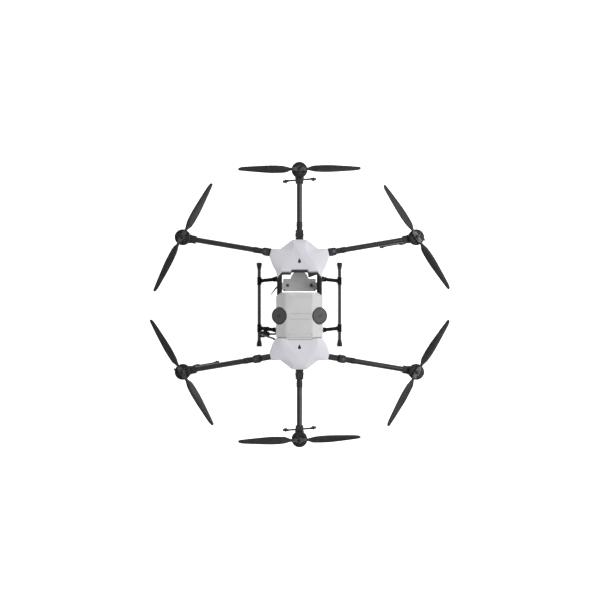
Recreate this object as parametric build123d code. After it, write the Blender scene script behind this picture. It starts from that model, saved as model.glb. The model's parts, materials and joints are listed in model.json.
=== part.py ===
from build123d import *
import os
from math import cos, radians, sin, tan

# Agricultural spray drone: six folding arms on two hubs, joined by two rails.
# Millimetres. +Y is forwards, +X is to the right, +Z is up, and z = 0 is the ground.

# Driving dimensions -------------------------------------------------------------

# the frame
arm_axis_z = 545.0
rail_x = 124.0
rail_z = 500.0
rail_r = 16.0
rail_end_y = 330.0
plate_t = 2.5
lower_plate_z = rail_z + rail_r + 0.5
upper_plate_z = 569.0

# the covers: a skirt, a shoulder and a crown
cover_foot_z = 540.0
cover_shoulder_z = 576.0
cover_crown_z = 593.0
cover_wall = 3.0

# the arms
tube_r = 17.0
tube_wall = 1.5
side_arm_angle = 9.6
side_arm_y0 = 290.6
motor_out = 714.0
motor_fore = 823.5
front_side_pivot_x = 212.0
rear_side_pivot_x = 270.0
fore_pivot_y = 430.0
fore_pivot_drop = 22.0

# the hinges at the arm roots
side_fork_r = 24.0
side_fork_gap = 38.0
fork_plate = 4.0
side_pin_r = 6.0
fore_fork_gap = 37.0
fore_fork_cheek = 6.0
fore_pin_r = 5.0
fit = 0.05
ring_r = 20.0
ring_length = 36.0
clamp_from_motor = 45.0
clamp_length = 33.0
pad_r = 38.0

# the motors and rotors
bell_r = 48.5
bell_low = 22.5
bell_top = 52.0
stator_r = 38.0
blade_tip_r = 375.0
blade_pivot_r = 28.0
blade_plane_z = 618.0
blade_root_t = 10.0
blade_root_w = 17.6
hub_plate_t = 3.0
hub_gap = 0.3
blade_bolt_r = 4.0

# the nozzle bars under the arms
nozzle_drop = 118.0
nozzle_half_side = 127.0
nozzle_half_fore = 88.0
nozzle_bar_r = 5.5

# the tank and its lids
tank_front_y = 75.0
tank_rear_y = -203.0
tank_low_z = 318.0
tank_top_z = 596.0
tank_half_w = 144.0
tank_low_half_w = 104.0
tank_plateau_half_w = 76.0
tank_slope = 28.0
tank_wall = 3.0
tank_corner_cut = 33.0
tank_lip_reach = 9.4
tank_lip_half_w = 73.0
tank_lip_deep = 16.0
lid_seat_r = 53.5
lid_seat_deep = 27.0
neck_r = 45.5
neck_bore_r = 41.5
lid_x = 127.5
lid_y = -69.0
lid_z = 576.1
lid_r = 52.0
lid_h = 24.0
lid_wall = 3.5
strainer_r = 33.0
strainer_deep = 46.0

# the outlet under the tank, and the cup it plugs into
dock_x = -60.0
dock_y = -150.0
dock_low_z = 276.0
dock_top_z = 311.0
plug_r = 13.0
hose_r = 6.0
hose_bend_r = 40.0

# the pump on the rear left leg
pump_y = -195.0
pump_z = 200.0
pump_motor_r = 17.0

# the landing gear
skid_x = 273.0
skid_z = 17.6
skid_r = 11.0
skid_half_length = 284.5
foot_r = 18.25
leg_y = 160.0
leg_r = 11.5
leg_top_x = 146.0
leg_top_z = 442.0

# the battery bay
tray_z = 372.0
tray_half_w = 104.0
tray_rear_y = 84.0
tray_front_y = 165.0
tray_tab_half_w = 56.0
tray_tab_y = 215.0
tray_sheet_t = 2.0
tray_hanger_rear_y = 92.0
tray_hanger_front_y = 138.0

slope_out = sin(radians(tank_slope))
slope_up = cos(radians(tank_slope))

os.makedirs("parts", exist_ok=True)


def save(shapes, node):
    """Writes one node: a solid, or a group of separate solids."""
    if not isinstance(shapes, list):
        shapes = [shapes]
    solids = [solid for shape in shapes for solid in shape.solids()]
    node_shape = solids[0] if len(solids) == 1 else Compound(children=solids)
    export_step(node_shape, f"parts/{node}.step")


def block(x0, x1, y0, y1, z0, z1):
    """A box between any two opposite corners."""
    middle = ((x0 + x1) / 2, (y0 + y1) / 2, (z0 + z1) / 2)
    return Pos(*middle) * Box(abs(x1 - x0), abs(y1 - y0), abs(z1 - z0))


def rod(radius, start, end):
    """A round bar from one point to another."""
    along = Vector(*end) - Vector(*start)
    plane = Plane(origin=start, z_dir=along)
    return extrude(plane * Circle(radius), amount=along.length)


def pipe(radius, wall, start, end):
    """A round tube from one point to another."""
    along = Vector(*end) - Vector(*start)
    plane = Plane(origin=start, z_dir=along)
    return extrude(plane * (Circle(radius) - Circle(radius - wall)), amount=along.length)


def both_sides(half):
    """A closed outline from the points of its right half, which start and end on x = 0."""
    left = [(-x, y) for x, y in reversed(half) if x > 0]
    return Polyline(*half, *left, close=True)


def slab(outline, low, high):
    """A flat plate with this outline between two heights."""
    return extrude(Plane.XY.offset(low) * make_face(outline), amount=high - low)


# The arms -----------------------------------------------------------------------


def place_of(arm):
    """(where the arm's pivot is, which way the arm points in degrees, pivot to motor)."""
    if arm in ("front", "rear"):
        sense = 1 if arm == "front" else -1
        reach = motor_fore - fore_pivot_y
        return (0, sense * fore_pivot_y, arm_axis_z), 90 * sense, reach
    fore = 1 if arm.startswith("front") else -1
    side = 1 if arm.endswith("right") else -1
    out = front_side_pivot_x if fore == 1 else rear_side_pivot_x
    y = side_arm_y0 + out * tan(radians(side_arm_angle))
    reach = (motor_out - out) / cos(radians(side_arm_angle))
    angle = fore * side_arm_angle
    if side == -1:
        angle = 180 - angle
    return (side * out, fore * y, arm_axis_z), angle, reach


def in_arm(arm, shape):
    """Moves a shape from the arm's own frame, +X outwards from the pivot, to its place."""
    pivot, angle, _ = place_of(arm)
    return Location(pivot, (0, 0, angle)) * shape


def side_knuckle():
    """The root casting of an arm that folds about a vertical pin."""
    half = side_fork_gap / 2 - 0.5
    boss = extrude(Plane.XY.offset(-half) * Circle(side_fork_r - 2.5), amount=2 * half)
    sleeve = rod(tube_r + 2, (8, 0, 0), (34, 0, 0))
    sleeve &= block(0, 34, -30, 30, -half, half)
    bore = rod(side_pin_r + fit, (0, 0, -half), (0, 0, half))
    return boss + sleeve - bore - rod(tube_r, (12, 0, 0), (34, 0, 0))


def fore_knuckle():
    """The root casting of an arm that folds down about a level pin below it."""
    half = fore_fork_gap / 2 - 0.5
    eye = rod(20, (0, -half, -fore_pivot_drop), (0, half, -fore_pivot_drop))
    body = block(-20, 28, -half, half, -fore_pivot_drop, 19)
    sleeve = rod(tube_r + 1.5, (20, 0, 0), (42, 0, 0))
    pin = rod(fore_pin_r + fit, (0, -half, -fore_pivot_drop), (0, half, -fore_pivot_drop))
    return eye + body + sleeve - pin - rod(tube_r, (12, 0, 0), (42, 0, 0))


def motor_mount(reach):
    """The clamp on the tube's end, and the pad that carries the motor."""
    near = reach - clamp_from_motor
    far = near - clamp_length
    clamp = block(far, near, -24.5, 24.5, -22, 22)
    clamp = fillet(clamp.edges().filter_by(Axis.X), 8)
    taper = Polyline((near, 28), (near, -28), (reach, -pad_r), (reach, pad_r), close=True)
    pad_outline = make_face(taper) + Pos(reach, 0) * Circle(pad_r)
    pad = extrude(Plane.XY.offset(-16) * pad_outline, amount=30)
    return clamp + pad - rod(tube_r, (far - 2, 0, 0), (near - 3, 0, 0))


def speed_controller(reach):
    """The motor's speed controller, in its finned case under the pad."""
    case = block(reach - 34, reach + 30, -24, 24, -34, -16)
    for fin in range(7):
        x = reach - 28 + 8 * fin
        case -= block(x, x + 4, -25, 25, -35, -28)
    return case


def stator(reach):
    """The motor's fixed part: a foot, the wound core and the bearing tube."""
    foot = extrude(Pos(reach, 0, 14) * Circle(30), amount=4)
    core = extrude(Pos(reach, 0, 18) * Circle(stator_r), amount=26)
    return foot + core - rod(9, (reach, 0, 14), (reach, 0, 50))


def carbon_tube(reach):
    """The arm's carbon tube, from the knuckle to the motor clamp."""
    return pipe(tube_r, tube_wall, (12, 0, 0), (reach - clamp_from_motor - 3, 0, 0))


def lock_ring(arm):
    """The ring that turns on the tube to lock the fold."""
    start = 44 if arm in ("front", "rear") else 37
    return pipe(ring_r - 1, ring_r - 1 - tube_r - fit, (start, 0, 0), (start + ring_length, 0, 0))


def nozzle_bar(arm):
    """Two spray nozzles on a bar that hangs from a swivel under the motor clamp."""
    _, _, reach = place_of(arm)
    along_arm = arm not in ("front", "rear")
    inboard = 68 if along_arm else 38
    aside = -13 if along_arm else 0
    half = nozzle_half_side if along_arm else nozzle_half_fore
    drop = -nozzle_drop
    bar_turn = 0 if along_arm else 94.5
    post_top = -22.5 if along_arm else -34.5
    post = rod(6, (0, 0, drop), (0, 0, post_top)) + rod(10, (0, 0, post_top - 8), (0, 0, post_top))
    bar = rod(nozzle_bar_r, (-half, 0, drop), (half, 0, drop))
    block_at_centre = block(-14, 14, -11, 11, drop - 11, drop + 11)
    pieces = post + bar + block_at_centre
    for end in (-half, half):
        pieces += rod(9, (end, 0, drop - 30), (end, 0, drop + 12))
        pieces += rod(13, (end, 0, drop - 40), (end, 0, drop - 24))
    return Location((reach - inboard, aside, 0), (0, 0, bar_turn)) * pieces


# The rotors ---------------------------------------------------------------------

# the way each rotor's first blade points, the angle to its second, and which way it spins
rotor_rest = {
    "front": (0.9, 179.3, -1),
    "rear": (2.8, 178.2, 1),
    "front_left": (60.5, 182.5, 1),
    "front_right": (122.3, 179.1, 1),
    "rear_left": (121.1, 179.5, -1),
    "rear_right": (58.7, 183.3, -1),
}


def motor_place(arm):
    """Where the motor's axis stands, in plan."""
    pivot, angle, reach = place_of(arm)
    x = pivot[0] + reach * cos(radians(angle))
    y = pivot[1] + reach * sin(radians(angle))
    return x, y


def rotor(arm):
    """The motor's bell, the hub plates and the two bolts that the blades fold on."""
    x, y = motor_place(arm)
    turn, _, _ = rotor_rest[arm]
    low = arm_axis_z + bell_low
    top = arm_axis_z + bell_top
    bell = rod(bell_r, (0, 0, low), (0, 0, top))
    bell = fillet(bell.edges().group_by(Axis.Z)[-1], 6)
    bell -= rod(stator_r + 1.5, (0, 0, low), (0, 0, top - 4))
    half_root = blade_root_t / 2
    plate_low = blade_plane_z - half_root - hub_gap - hub_plate_t
    plate_top = blade_plane_z + half_root + hub_gap
    column = rod(18, (0, 0, top), (0, 0, plate_low))
    plate_shape = SlotCenterToCenter(2 * blade_pivot_r, 26)
    lower_plate = extrude(Pos(0, 0, plate_low) * plate_shape, amount=hub_plate_t)
    upper_plate = extrude(Pos(0, 0, plate_top) * plate_shape, amount=hub_plate_t)
    whole = bell + column + lower_plate + upper_plate
    whole += rod(12, (0, 0, plate_low), (0, 0, plate_top + hub_plate_t + 2))
    for end in (-blade_pivot_r, blade_pivot_r):
        whole += rod(blade_bolt_r, (end, 0, plate_low), (end, 0, plate_top))
        whole += rod(7, (end, 0, plate_top), (end, 0, plate_top + hub_plate_t + 4))
    whole += rod(8.9, (0, 0, arm_axis_z + 20), (0, 0, top))
    return Location((x, y, 0), (0, 0, turn)) * whole


# blade stations: distance from the rotor's axis, edge ahead, edge behind, thickness, pitch
blade_stations = [
    (50, 8.8, 8.8, 9.6, 0),
    (60, 10, 11, 9, 8),
    (78, 15, 19, 8, 16),
    (95, 19, 22.5, 7.2, 17),
    (150, 23, 24.5, 5.8, 15),
    (190, 22.5, 23.5, 5, 14),
    (270, 19, 17.5, 4, 11),
    (345, 14.5, 10, 3, 8),
    (365, 10.5, 8, 2.6, 7),
    (blade_tip_r, 3, 5, 2, 7),
]


def blade_section(station):
    """A flattened six-sided section across the blade, tilted by its pitch."""
    r, ahead, behind, thick, pitch = station
    half = thick / 2
    points = [
        (ahead, 0),
        (ahead * 0.5, half),
        (-behind * 0.4, half),
        (-behind, 0),
        (-behind * 0.4, -half),
        (ahead * 0.5, -half),
    ]
    plane = Plane(origin=(r, 0, 0), x_dir=(0, 1, 0), z_dir=(1, 0, 0))
    return plane * Rot(0, 0, pitch) * make_face(Polyline(*points, close=True))


def blade(arm, second):
    """One folding blade: an eye for its bolt, a neck and the twisted blade."""
    x, y = motor_place(arm)
    turn, between, spin = rotor_rest[arm]
    half = blade_root_t / 2
    wing = loft([blade_section(station) for station in blade_stations], ruled=True)
    neck = block(blade_pivot_r, 52, -blade_root_w / 2, blade_root_w / 2, -half, half)
    eye = rod(12, (blade_pivot_r, 0, -half), (blade_pivot_r, 0, half))
    hole = rod(blade_bolt_r + fit, (blade_pivot_r, 0, -half), (blade_pivot_r, 0, half))
    whole = wing + neck + eye - hole
    if spin == -1:
        whole = mirror(whole, about=Plane.XZ)
    if second:
        # the second blade's bolt is straight across the hub; the blade itself may lean a little
        lean = between - 180
        about_bolt = Pos(blade_pivot_r, 0, 0) * Rot(0, 0, lean) * Pos(-blade_pivot_r, 0, 0)
        whole = Rot(0, 0, 180) * about_bolt * whole
    return Location((x, y, blade_plane_z), (0, 0, turn)) * whole


# The hubs -----------------------------------------------------------------------

front_cover_half = [
    (0, 399),
    (43, 399),
    (118, 341),
    (173, 343),
    (185, 295),
    (167, 244),
    (143, 200),
    (138, 161),
    (110, 197),
    (52, 197),
    (49, 212),
    (0, 212),
]
front_crown_half = [
    (0, 372),
    (38, 372),
    (40, 324),
    (66, 291),
    (85, 264),
    (104, 238),
    (112, 214),
    (112, 206),
    (100, 205),
    (56, 205),
    (53, 216),
    (0, 216),
]
rear_cover_half = [
    (0, -213),
    (76, -213),
    (80, -204.2),
    (143, -204.2),
    (167, -244),
    (185, -295),
    (173, -343),
    (118, -341),
    (43, -399),
    (0, -399),
]
rear_crown_half = [
    (0, -214.6),
    (74, -214.6),
    (80, -206.5),
    (112, -206.5),
    (114, -250),
    (98, -280),
    (82, -306),
    (64, -334),
    (38, -372),
    (0, -372),
]
front_plate_half = [
    (0, 392),
    (38, 392),
    (114, 334),
    (166, 336),
    (177, 295),
    (160, 246),
    (138, 204),
    (138, 146),
    (106, 184),
    (53, 184),
    (50, 198),
    (0, 198),
]
rear_plate_half = [
    (0, -224),
    (79, -224),
    (82, -213),
    (137, -213),
    (160, -246),
    (177, -295),
    (166, -336),
    (114, -334),
    (38, -392),
    (0, -392),
]


def shrunk(half, y_middle, by):
    """The points of a half outline, moved towards its middle by about this much."""
    share = 1 - by / 100
    return [(x * share, y_middle + (y - y_middle) * share) for x, y in half]


def cover(outline, crown, y_middle, sense):
    """A thin moulded shell, open below, with a notch for each of its three arms."""

    def dome(edge, top, foot_z, lift):
        skirt = slab(both_sides(edge), foot_z, cover_shoulder_z + lift)
        shoulder_face = Plane.XY.offset(cover_shoulder_z + lift) * make_face(both_sides(edge))
        crown_face = Plane.XY.offset(cover_crown_z + lift) * make_face(both_sides(top))
        return skirt + loft([shoulder_face, crown_face], ruled=True)

    outer = dome(outline, crown, cover_foot_z, 0)
    inner_edge = shrunk(outline, y_middle, cover_wall)
    inner_top = shrunk(crown, y_middle, cover_wall)
    shell = outer - dome(inner_edge, inner_top, cover_foot_z - 1, -cover_wall)
    notch_top = upper_plate_z + plate_t + 0.5
    if sense == 1:
        shell -= block(-150, 150, 140, 216, cover_foot_z - 1, notch_top)
    shell -= block(-26, 26, sense * 340, sense * 410, cover_foot_z - 1, notch_top)
    for side in (-1, 1):
        slot = block(90, 210, -26, 26, cover_foot_z - 1, notch_top)
        angle = sense * side_arm_angle if side == 1 else 180 - sense * side_arm_angle
        shell -= Location((0, sense * side_arm_y0, 0), (0, 0, angle)) * slot
    return shell


def hub_frame(half, sense):
    """Two carbon plates on posts, and the clamps that hold them to the rails."""
    solids = []
    outline = both_sides(half)
    solids.append(slab(outline, lower_plate_z, lower_plate_z + plate_t))
    solids.append(slab(outline, upper_plate_z, upper_plate_z + plate_t))
    for x in (-112, -60, 60, 112):
        post_y = sense * (232 if abs(x) == 60 else 246)
        low = lower_plate_z + plate_t
        solids.append(rod(5, (x, post_y, low), (x, post_y, upper_plate_z)))
    for side in (-1, 1):
        for y in (235, 310):
            clamp = block(
                side * rail_x - 22, side * rail_x + 22,
                sense * y - 12, sense * y + 12,
                rail_z - 21, lower_plate_z,
            )
            solids.append(clamp - rod(rail_r, (side * rail_x, -350, rail_z), (side * rail_x, 350, rail_z)))
    return solids


def side_socket(arm):
    """The fork that a side arm turns in, with its vertical pin."""
    reach_in = 92 if arm.startswith("front") else 152
    stem_half = side_fork_r if arm.startswith("front") else tube_r + 1
    half_gap = side_fork_gap / 2
    half_height = half_gap + fork_plate
    stem = block(-reach_in, -side_fork_r - 3, -stem_half, stem_half, -half_height, half_height)
    cheek = Circle(side_fork_r) + Pos(-16, 0) * Rectangle(32, 2 * side_fork_r)
    fork = stem
    for low in (-half_height, half_gap):
        fork += extrude(Pos(0, 0, low) * cheek, amount=fork_plate)
    fork -= rod(side_pin_r, (0, 0, -half_height), (0, 0, half_height))
    pin = rod(side_pin_r, (0, 0, -half_height - 1.5), (0, 0, half_height + 1))
    return [in_arm(arm, fork), in_arm(arm, pin)]


def fore_socket(arm):
    """The fork that the front or rear arm folds down in, with its level pin."""
    inner = fore_fork_gap / 2
    outer = inner + fore_fork_cheek
    drop = -fore_pivot_drop
    fork = block(-92, -21, -outer, outer, -23, 23)
    for side in (-1, 1):
        low, high = sorted((side * inner, side * outer))
        fork += block(-29, 12, low, high, drop, 23)
        fork += block(10, 28, low, high, -12, 23)
        fork += rod(18, (0, low, drop), (0, high, drop))
    fork -= rod(fore_pin_r, (0, -outer, drop), (0, outer, drop))
    pin = rod(fore_pin_r, (0, -outer - 2, drop), (0, outer + 2, drop))
    return [in_arm(arm, fork), in_arm(arm, pin)]


def avionics():
    """The flight controller, the power board's case and the battery's socket."""
    floor = lower_plate_z + plate_t
    controller = block(-40, 40, 240, 320, floor, floor + 30)
    power_case = block(-45, 45, -320, -245, floor, floor + 26)
    socket_outline = Polyline((54, 183.5), (102, 183.5), (62, 168), (54, 170), close=True)
    socket_body = slab(socket_outline, lower_plate_z, lower_plate_z + 26)
    return [controller, power_case, socket_body]


# The body below the hubs ---------------------------------------------------------


def side_rails():
    """Two carbon tubes that run from the front hub to the rear hub."""
    return [
        pipe(rail_r, 2, (x, -rail_end_y, rail_z), (x, rail_end_y, rail_z))
        for x in (-rail_x, rail_x)
    ]


def battery_tray():
    """A sheet tray with a half-round tab, hung from the rails on two side plates."""
    sheet = block(-tray_half_w, tray_half_w, tray_rear_y, tray_front_y, tray_z, tray_z + tray_sheet_t)
    tab_r = tray_tab_half_w
    tab = extrude(Pos(0, tray_tab_y - tab_r, tray_z) * Circle(tab_r), amount=tray_sheet_t)
    sheet += tab
    for side in (-1, 1):
        low, high = sorted((side * (tray_half_w - tray_sheet_t), side * tray_half_w))
        sheet += block(low, high, tray_hanger_rear_y, tray_hanger_front_y, tray_z, rail_z - 22)
        low, high = sorted((side * (tray_half_w - tray_sheet_t), side * (rail_x + 14)))
        sheet += block(
            low, high,
            tray_hanger_rear_y, tray_hanger_front_y,
            rail_z - 22, rail_z - rail_r - 0.5,
        )
    feet = [
        rod(6, (x, tray_rear_y + 8, tray_z - 6), (x, tray_rear_y + 8, tray_z))
        for x in (-96, 96)
    ]
    return [sheet, *feet]


def leg_line(side, fore, share):
    """A point on a leg's axis, from its top (0) to the skid (1)."""
    x = leg_top_x + (skid_x - leg_top_x) * share
    z = leg_top_z + (skid_z - leg_top_z) * share
    return side * x, fore * leg_y, z


def landing_gear_tubes():
    """Two skid tubes and the four legs that carry them."""
    tubes = []
    for side in (-1, 1):
        x = side * skid_x
        tubes.append(
            pipe(skid_r, 1.5, (x, -skid_half_length + 4, skid_z), (x, skid_half_length - 4, skid_z))
        )
        for fore in (-1, 1):
            tubes.append(pipe(leg_r, 1.5, leg_line(side, fore, 0.04), leg_line(side, fore, 0.955)))
    return tubes


def landing_gear_fittings():
    """A bracket at the top of each leg, and a T-piece where it meets the skid."""
    fittings = []
    for side in (-1, 1):
        for fore in (-1, 1):
            y = fore * leg_y
            low, high = sorted((side * 112, side * 152))
            bracket = block(low, high, y - 17, y + 17, leg_top_z - 2, rail_z - 6)
            bracket += rod(leg_r + 4, leg_line(side, fore, -0.02), leg_line(side, fore, 0.12))
            bracket -= rod(leg_r, leg_line(side, fore, 0.04), leg_line(side, fore, 0.2))
            bracket -= rod(rail_r, (side * rail_x, -350, rail_z), (side * rail_x, 350, rail_z))
            tee = rod(skid_r + 3.5, (side * skid_x, y - 26, skid_z), (side * skid_x, y + 26, skid_z))
            tee += rod(leg_r + 3, leg_line(side, fore, 0.86), leg_line(side, fore, 0.99))
            tee -= rod(skid_r, (side * skid_x, y - 30, skid_z), (side * skid_x, y + 30, skid_z))
            tee -= rod(leg_r, leg_line(side, fore, 0.8), leg_line(side, fore, 0.955))
            fittings += [bracket, tee]
    return fittings


def skid_feet():
    """Four flared rubber ends, flat where they stand."""
    feet = []
    for side in (-1, 1):
        for fore in (-1, 1):
            x = side * skid_x
            end = fore * skid_half_length
            flare = rod(foot_r, (x, end, skid_z), (x, end - fore * 18, skid_z))
            cone_start = (x, end - fore * 18, skid_z)
            cone_plane = Plane(origin=cone_start, z_dir=(0, -fore, 0))
            cone = loft([cone_plane * Circle(foot_r), cone_plane.offset(25) * Circle(skid_r + 2)])
            foot = flare + cone
            foot -= rod(skid_r, (x, end - fore * 4, skid_z), (x, end - fore * 60, skid_z))
            foot -= block(x - 30, x + 30, end - 50, end + 50, -10, 0)
            feet.append(foot)
    return feet


def tank_section(inset):
    """The tank's section across the drone: wide above the rails, narrow between them."""
    shoulder_z = tank_top_z - (tank_half_w - tank_plateau_half_w) * tan(radians(tank_slope))
    rail_gap_z = rail_z + rail_r + 1
    half = [
        (0, tank_top_z),
        (tank_plateau_half_w, tank_top_z),
        (tank_half_w, shoulder_z),
        (tank_half_w, rail_gap_z),
        (tank_low_half_w, rail_gap_z),
        (tank_low_half_w, tank_low_z + 30),
        (tank_low_half_w - 24, tank_low_z),
        (0, tank_low_z),
    ]
    face = make_face(both_sides(half))
    return offset(face, -inset, kind=Kind.INTERSECTION) if inset else face


def tank_block(inset):
    """The tank's outside, or its inside when it is inset by the wall."""
    front = tank_front_y - inset
    rear = tank_rear_y + inset
    plane = Plane(origin=(0, front, 0), x_dir=(1, 0, 0), z_dir=(0, -1, 0))
    body = extrude(plane * tank_section(inset), amount=front - rear)
    for side in (-1, 1):
        corner = Polyline(
            (side * (tank_half_w - tank_corner_cut - inset), front + 1),
            (side * (tank_half_w + 9), front + 1),
            (side * (tank_half_w + 9), front - 27),
            close=True,
        )
        body -= slab(corner, rail_z + rail_r + 1 - 30, tank_top_z + 5)
    return body


def lid_rod(side, radius, low, high):
    """A round bar on a lid's tilted axis, between two distances from the lid's top."""
    middle = Vector(side * lid_x, lid_y, lid_z)
    out = Vector(side * slope_out, 0, slope_up)
    start = middle + out * low
    end = middle + out * high
    return rod(radius, tuple(start), tuple(end))


def tank():
    """The spray tank: a blow-moulded shell with two tilted filler necks in round recesses."""
    outside = tank_block(0)
    inside = tank_block(tank_wall)
    above_rails = block(-200, 200, -180, 40, rail_z + rail_r + 1, 640)
    inside_above = block(-200, 200, -180, 40, rail_z + rail_r + 1 + tank_wall, 640)
    for side in (-1, 1):
        seat = -lid_seat_deep
        outside += lid_rod(side, lid_seat_r, seat - 25, seat) & above_rails
        outside -= lid_rod(side, lid_seat_r, seat, 30)
        inside += lid_rod(side, lid_seat_r - tank_wall, seat - 25, seat - tank_wall) & inside_above
        inside -= lid_rod(side, lid_seat_r + tank_wall, seat - tank_wall, 30)
    shell = outside - inside
    for side in (-1, 1):
        shell += lid_rod(side, neck_r, -lid_seat_deep - 2, -4.5)
        shell -= lid_rod(side, neck_bore_r, -44, 0)
    # a lip at the back reaches into the rear cover's front edge
    return shell + block(
        -tank_lip_half_w, tank_lip_half_w,
        tank_rear_y - tank_lip_reach, tank_rear_y + 1,
        tank_top_z - tank_lip_deep, tank_top_z,
    )


def lid(side):
    """A screw lid: a shallow cup that covers the filler neck."""
    return lid_rod(side, lid_r, -lid_h, 0) - lid_rod(side, lid_r - lid_wall, -lid_h, -lid_wall)


def strainer(side):
    """The basket that hangs in a filler neck and keeps dirt out of the tank."""
    basket = lid_rod(side, strainer_r, -strainer_deep, -3.8)
    basket -= lid_rod(side, strainer_r - 1.5, 1.5 - strainer_deep, 0)
    rim = lid_rod(side, 45, -4.4, -3.8) - lid_rod(side, 32, -5, 0)
    return basket + rim


def tank_outlet():
    """The tapered plug under the tank that seats in the hose's dock."""
    plug = rod(plug_r, (dock_x, dock_y, dock_low_z + 16), (dock_x, dock_y, tank_low_z))
    return plug + rod(20, (dock_x, dock_y, tank_low_z - 5), (dock_x, dock_y, tank_low_z))


def hose(points):
    """A hose along straight runs joined by arcs."""
    turns = [hose_bend_r] * (len(points) - 2)
    route = FilletPolyline(*points, radius=turns)
    start = Plane(origin=points[0], z_dir=route % 0)
    return sweep(start * Circle(hose_r), path=route)


def plumbing():
    """The dock cup on its strap from the left rail, and the hoses to and from the pump."""
    cup = rod(plug_r + 5, (dock_x, dock_y, dock_low_z), (dock_x, dock_y, dock_top_z))
    cup -= rod(plug_r + fit, (dock_x, dock_y, dock_low_z + 14), (dock_x, dock_y, dock_top_z + 1))
    strap = block(-109, dock_x - 14, dock_y - 10, dock_y + 10, dock_low_z, dock_low_z + 4)
    strap += block(-109, -106, dock_y - 10, dock_y + 10, dock_low_z, leg_top_z)
    strap += block(-112, -106, dock_y - 10, dock_y + 10, leg_top_z, leg_top_z + 30)
    supply = hose([
        (dock_x, dock_y, dock_low_z),
        (dock_x, dock_y, 205),
        (-150, pump_y, pump_z - 25),
        (-192, pump_y, pump_z - 25),
    ])
    feed = hose([
        (-242, pump_y, pump_z + 30),
        (-242, pump_y, 300),
        (-158, -216, 420),
        (-158, -216, 500),
    ])
    return [cup + strap, supply, feed]


def pump():
    """The diaphragm pump: its motor, its head and the clamp on the rear left leg."""
    motor_body = rod(pump_motor_r, (-228, pump_y, pump_z), (-198, pump_y, pump_z))
    head = block(-256, -228, pump_y - 21, pump_y + 21, pump_z - 24, pump_z + 24)
    outlet = rod(8, (-242, pump_y, pump_z + 24), (-242, pump_y, pump_z + 30))
    inlet = rod(8, (-198, pump_y, pump_z - 25), (-192, pump_y, pump_z - 25))
    port_block = block(-212, -198, pump_y - 9, pump_y + 9, pump_z - 35, pump_z - 10)
    foot_x, _, foot_z = leg_line(-1, -1, 0.57)
    clamp = block(foot_x - 19, foot_x + 19, -178, -145, foot_z - 12, foot_z + 12)
    clamp += block(foot_x - 19, foot_x + 8, -180, -172, foot_z - 12, foot_z + 12)
    clamp -= rod(leg_r, leg_line(-1, -1, 0.4), leg_line(-1, -1, 0.75))
    return motor_body + head + outlet + inlet + port_block + clamp


def whip(start, end, thick, thin):
    """A tapered aerial."""
    along = Vector(*end) - Vector(*start)
    root = Plane(origin=start, z_dir=along)
    return loft([root * Circle(thick), root.offset(along.length) * Circle(thin)])


def antennas():
    """Two aerials: one on the left rail and one at the front hub's right corner."""
    left = rod(5, (-136, 112, 505), (-146, 102, 500)) + whip((-145, 103, 500), (-178, 62, 470), 4, 1.5)
    right = rod(3, (139, 150, 508), (150, 158, 505)) + whip((149, 157, 505), (181, 186, 495), 2, 0.8)
    rail = rod(rail_r, (-rail_x, 0, rail_z), (-rail_x, 200, rail_z))
    other = rod(rail_r, (rail_x, 0, rail_z), (rail_x, 200, rail_z))
    return [left - rail, right - other]


# Writing the nodes ---------------------------------------------------------------

arms = ("front", "rear", "front_left", "front_right", "rear_left", "rear_right")
sockets = []
for arm in arms:
    _, _, reach = place_of(arm)
    folds_down = arm in ("front", "rear")
    knuckle = fore_knuckle() if folds_down else side_knuckle()
    fittings = [knuckle, motor_mount(reach), speed_controller(reach), stator(reach)]
    sockets += fore_socket(arm) if folds_down else side_socket(arm)
    save([in_arm(arm, piece) for piece in fittings], f"arm_fittings_{arm}")
    save(in_arm(arm, carbon_tube(reach)), f"arm_tube_{arm}")
    save(in_arm(arm, lock_ring(arm)), f"lock_ring_{arm}")
    save(in_arm(arm, nozzle_bar(arm)), f"nozzle_bar_{arm}")
    save(rotor(arm), f"rotor_{arm}")
    save(blade(arm, False), f"blade_{arm}_a")
    save(blade(arm, True), f"blade_{arm}_b")

save(cover(front_cover_half, front_crown_half, 300, 1), "front_cover")
save(cover(rear_cover_half, rear_crown_half, -300, -1), "rear_cover")
save(hub_frame(front_plate_half, 1) + hub_frame(rear_plate_half, -1), "hub_frames")
save(sockets, "arm_sockets")
save(avionics(), "avionics_boxes")
save(side_rails(), "side_rails")
save(battery_tray(), "battery_tray")
save(landing_gear_tubes(), "landing_gear_tubes")
save(landing_gear_fittings(), "landing_gear_fittings")
save(skid_feet(), "skid_feet")
save(tank(), "tank")
save(lid(-1), "tank_lid_left")
save(lid(1), "tank_lid_right")
save([strainer(-1), strainer(1)], "tank_strainers")
save(tank_outlet(), "tank_outlet")
save(plumbing(), "spray_plumbing")
save(pump(), "pump")
save(antennas(), "antennas")
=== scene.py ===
# %% [markdown]
# # A folding spray drone, made piece by piece
# This lesson dresses a finished engineering model. The engineering model gives every part's
# place and size, and the cells below make the pieces that are seen: tubes, castings, motors,
# propellers, covers and a tank. Everything is in metres, +Y is forwards and +Z is up.

import json
from math import acos, cos, exp, hypot, pi, radians, sin, tan

import bmesh
import bpy
from mathutils import Matrix, Vector


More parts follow.
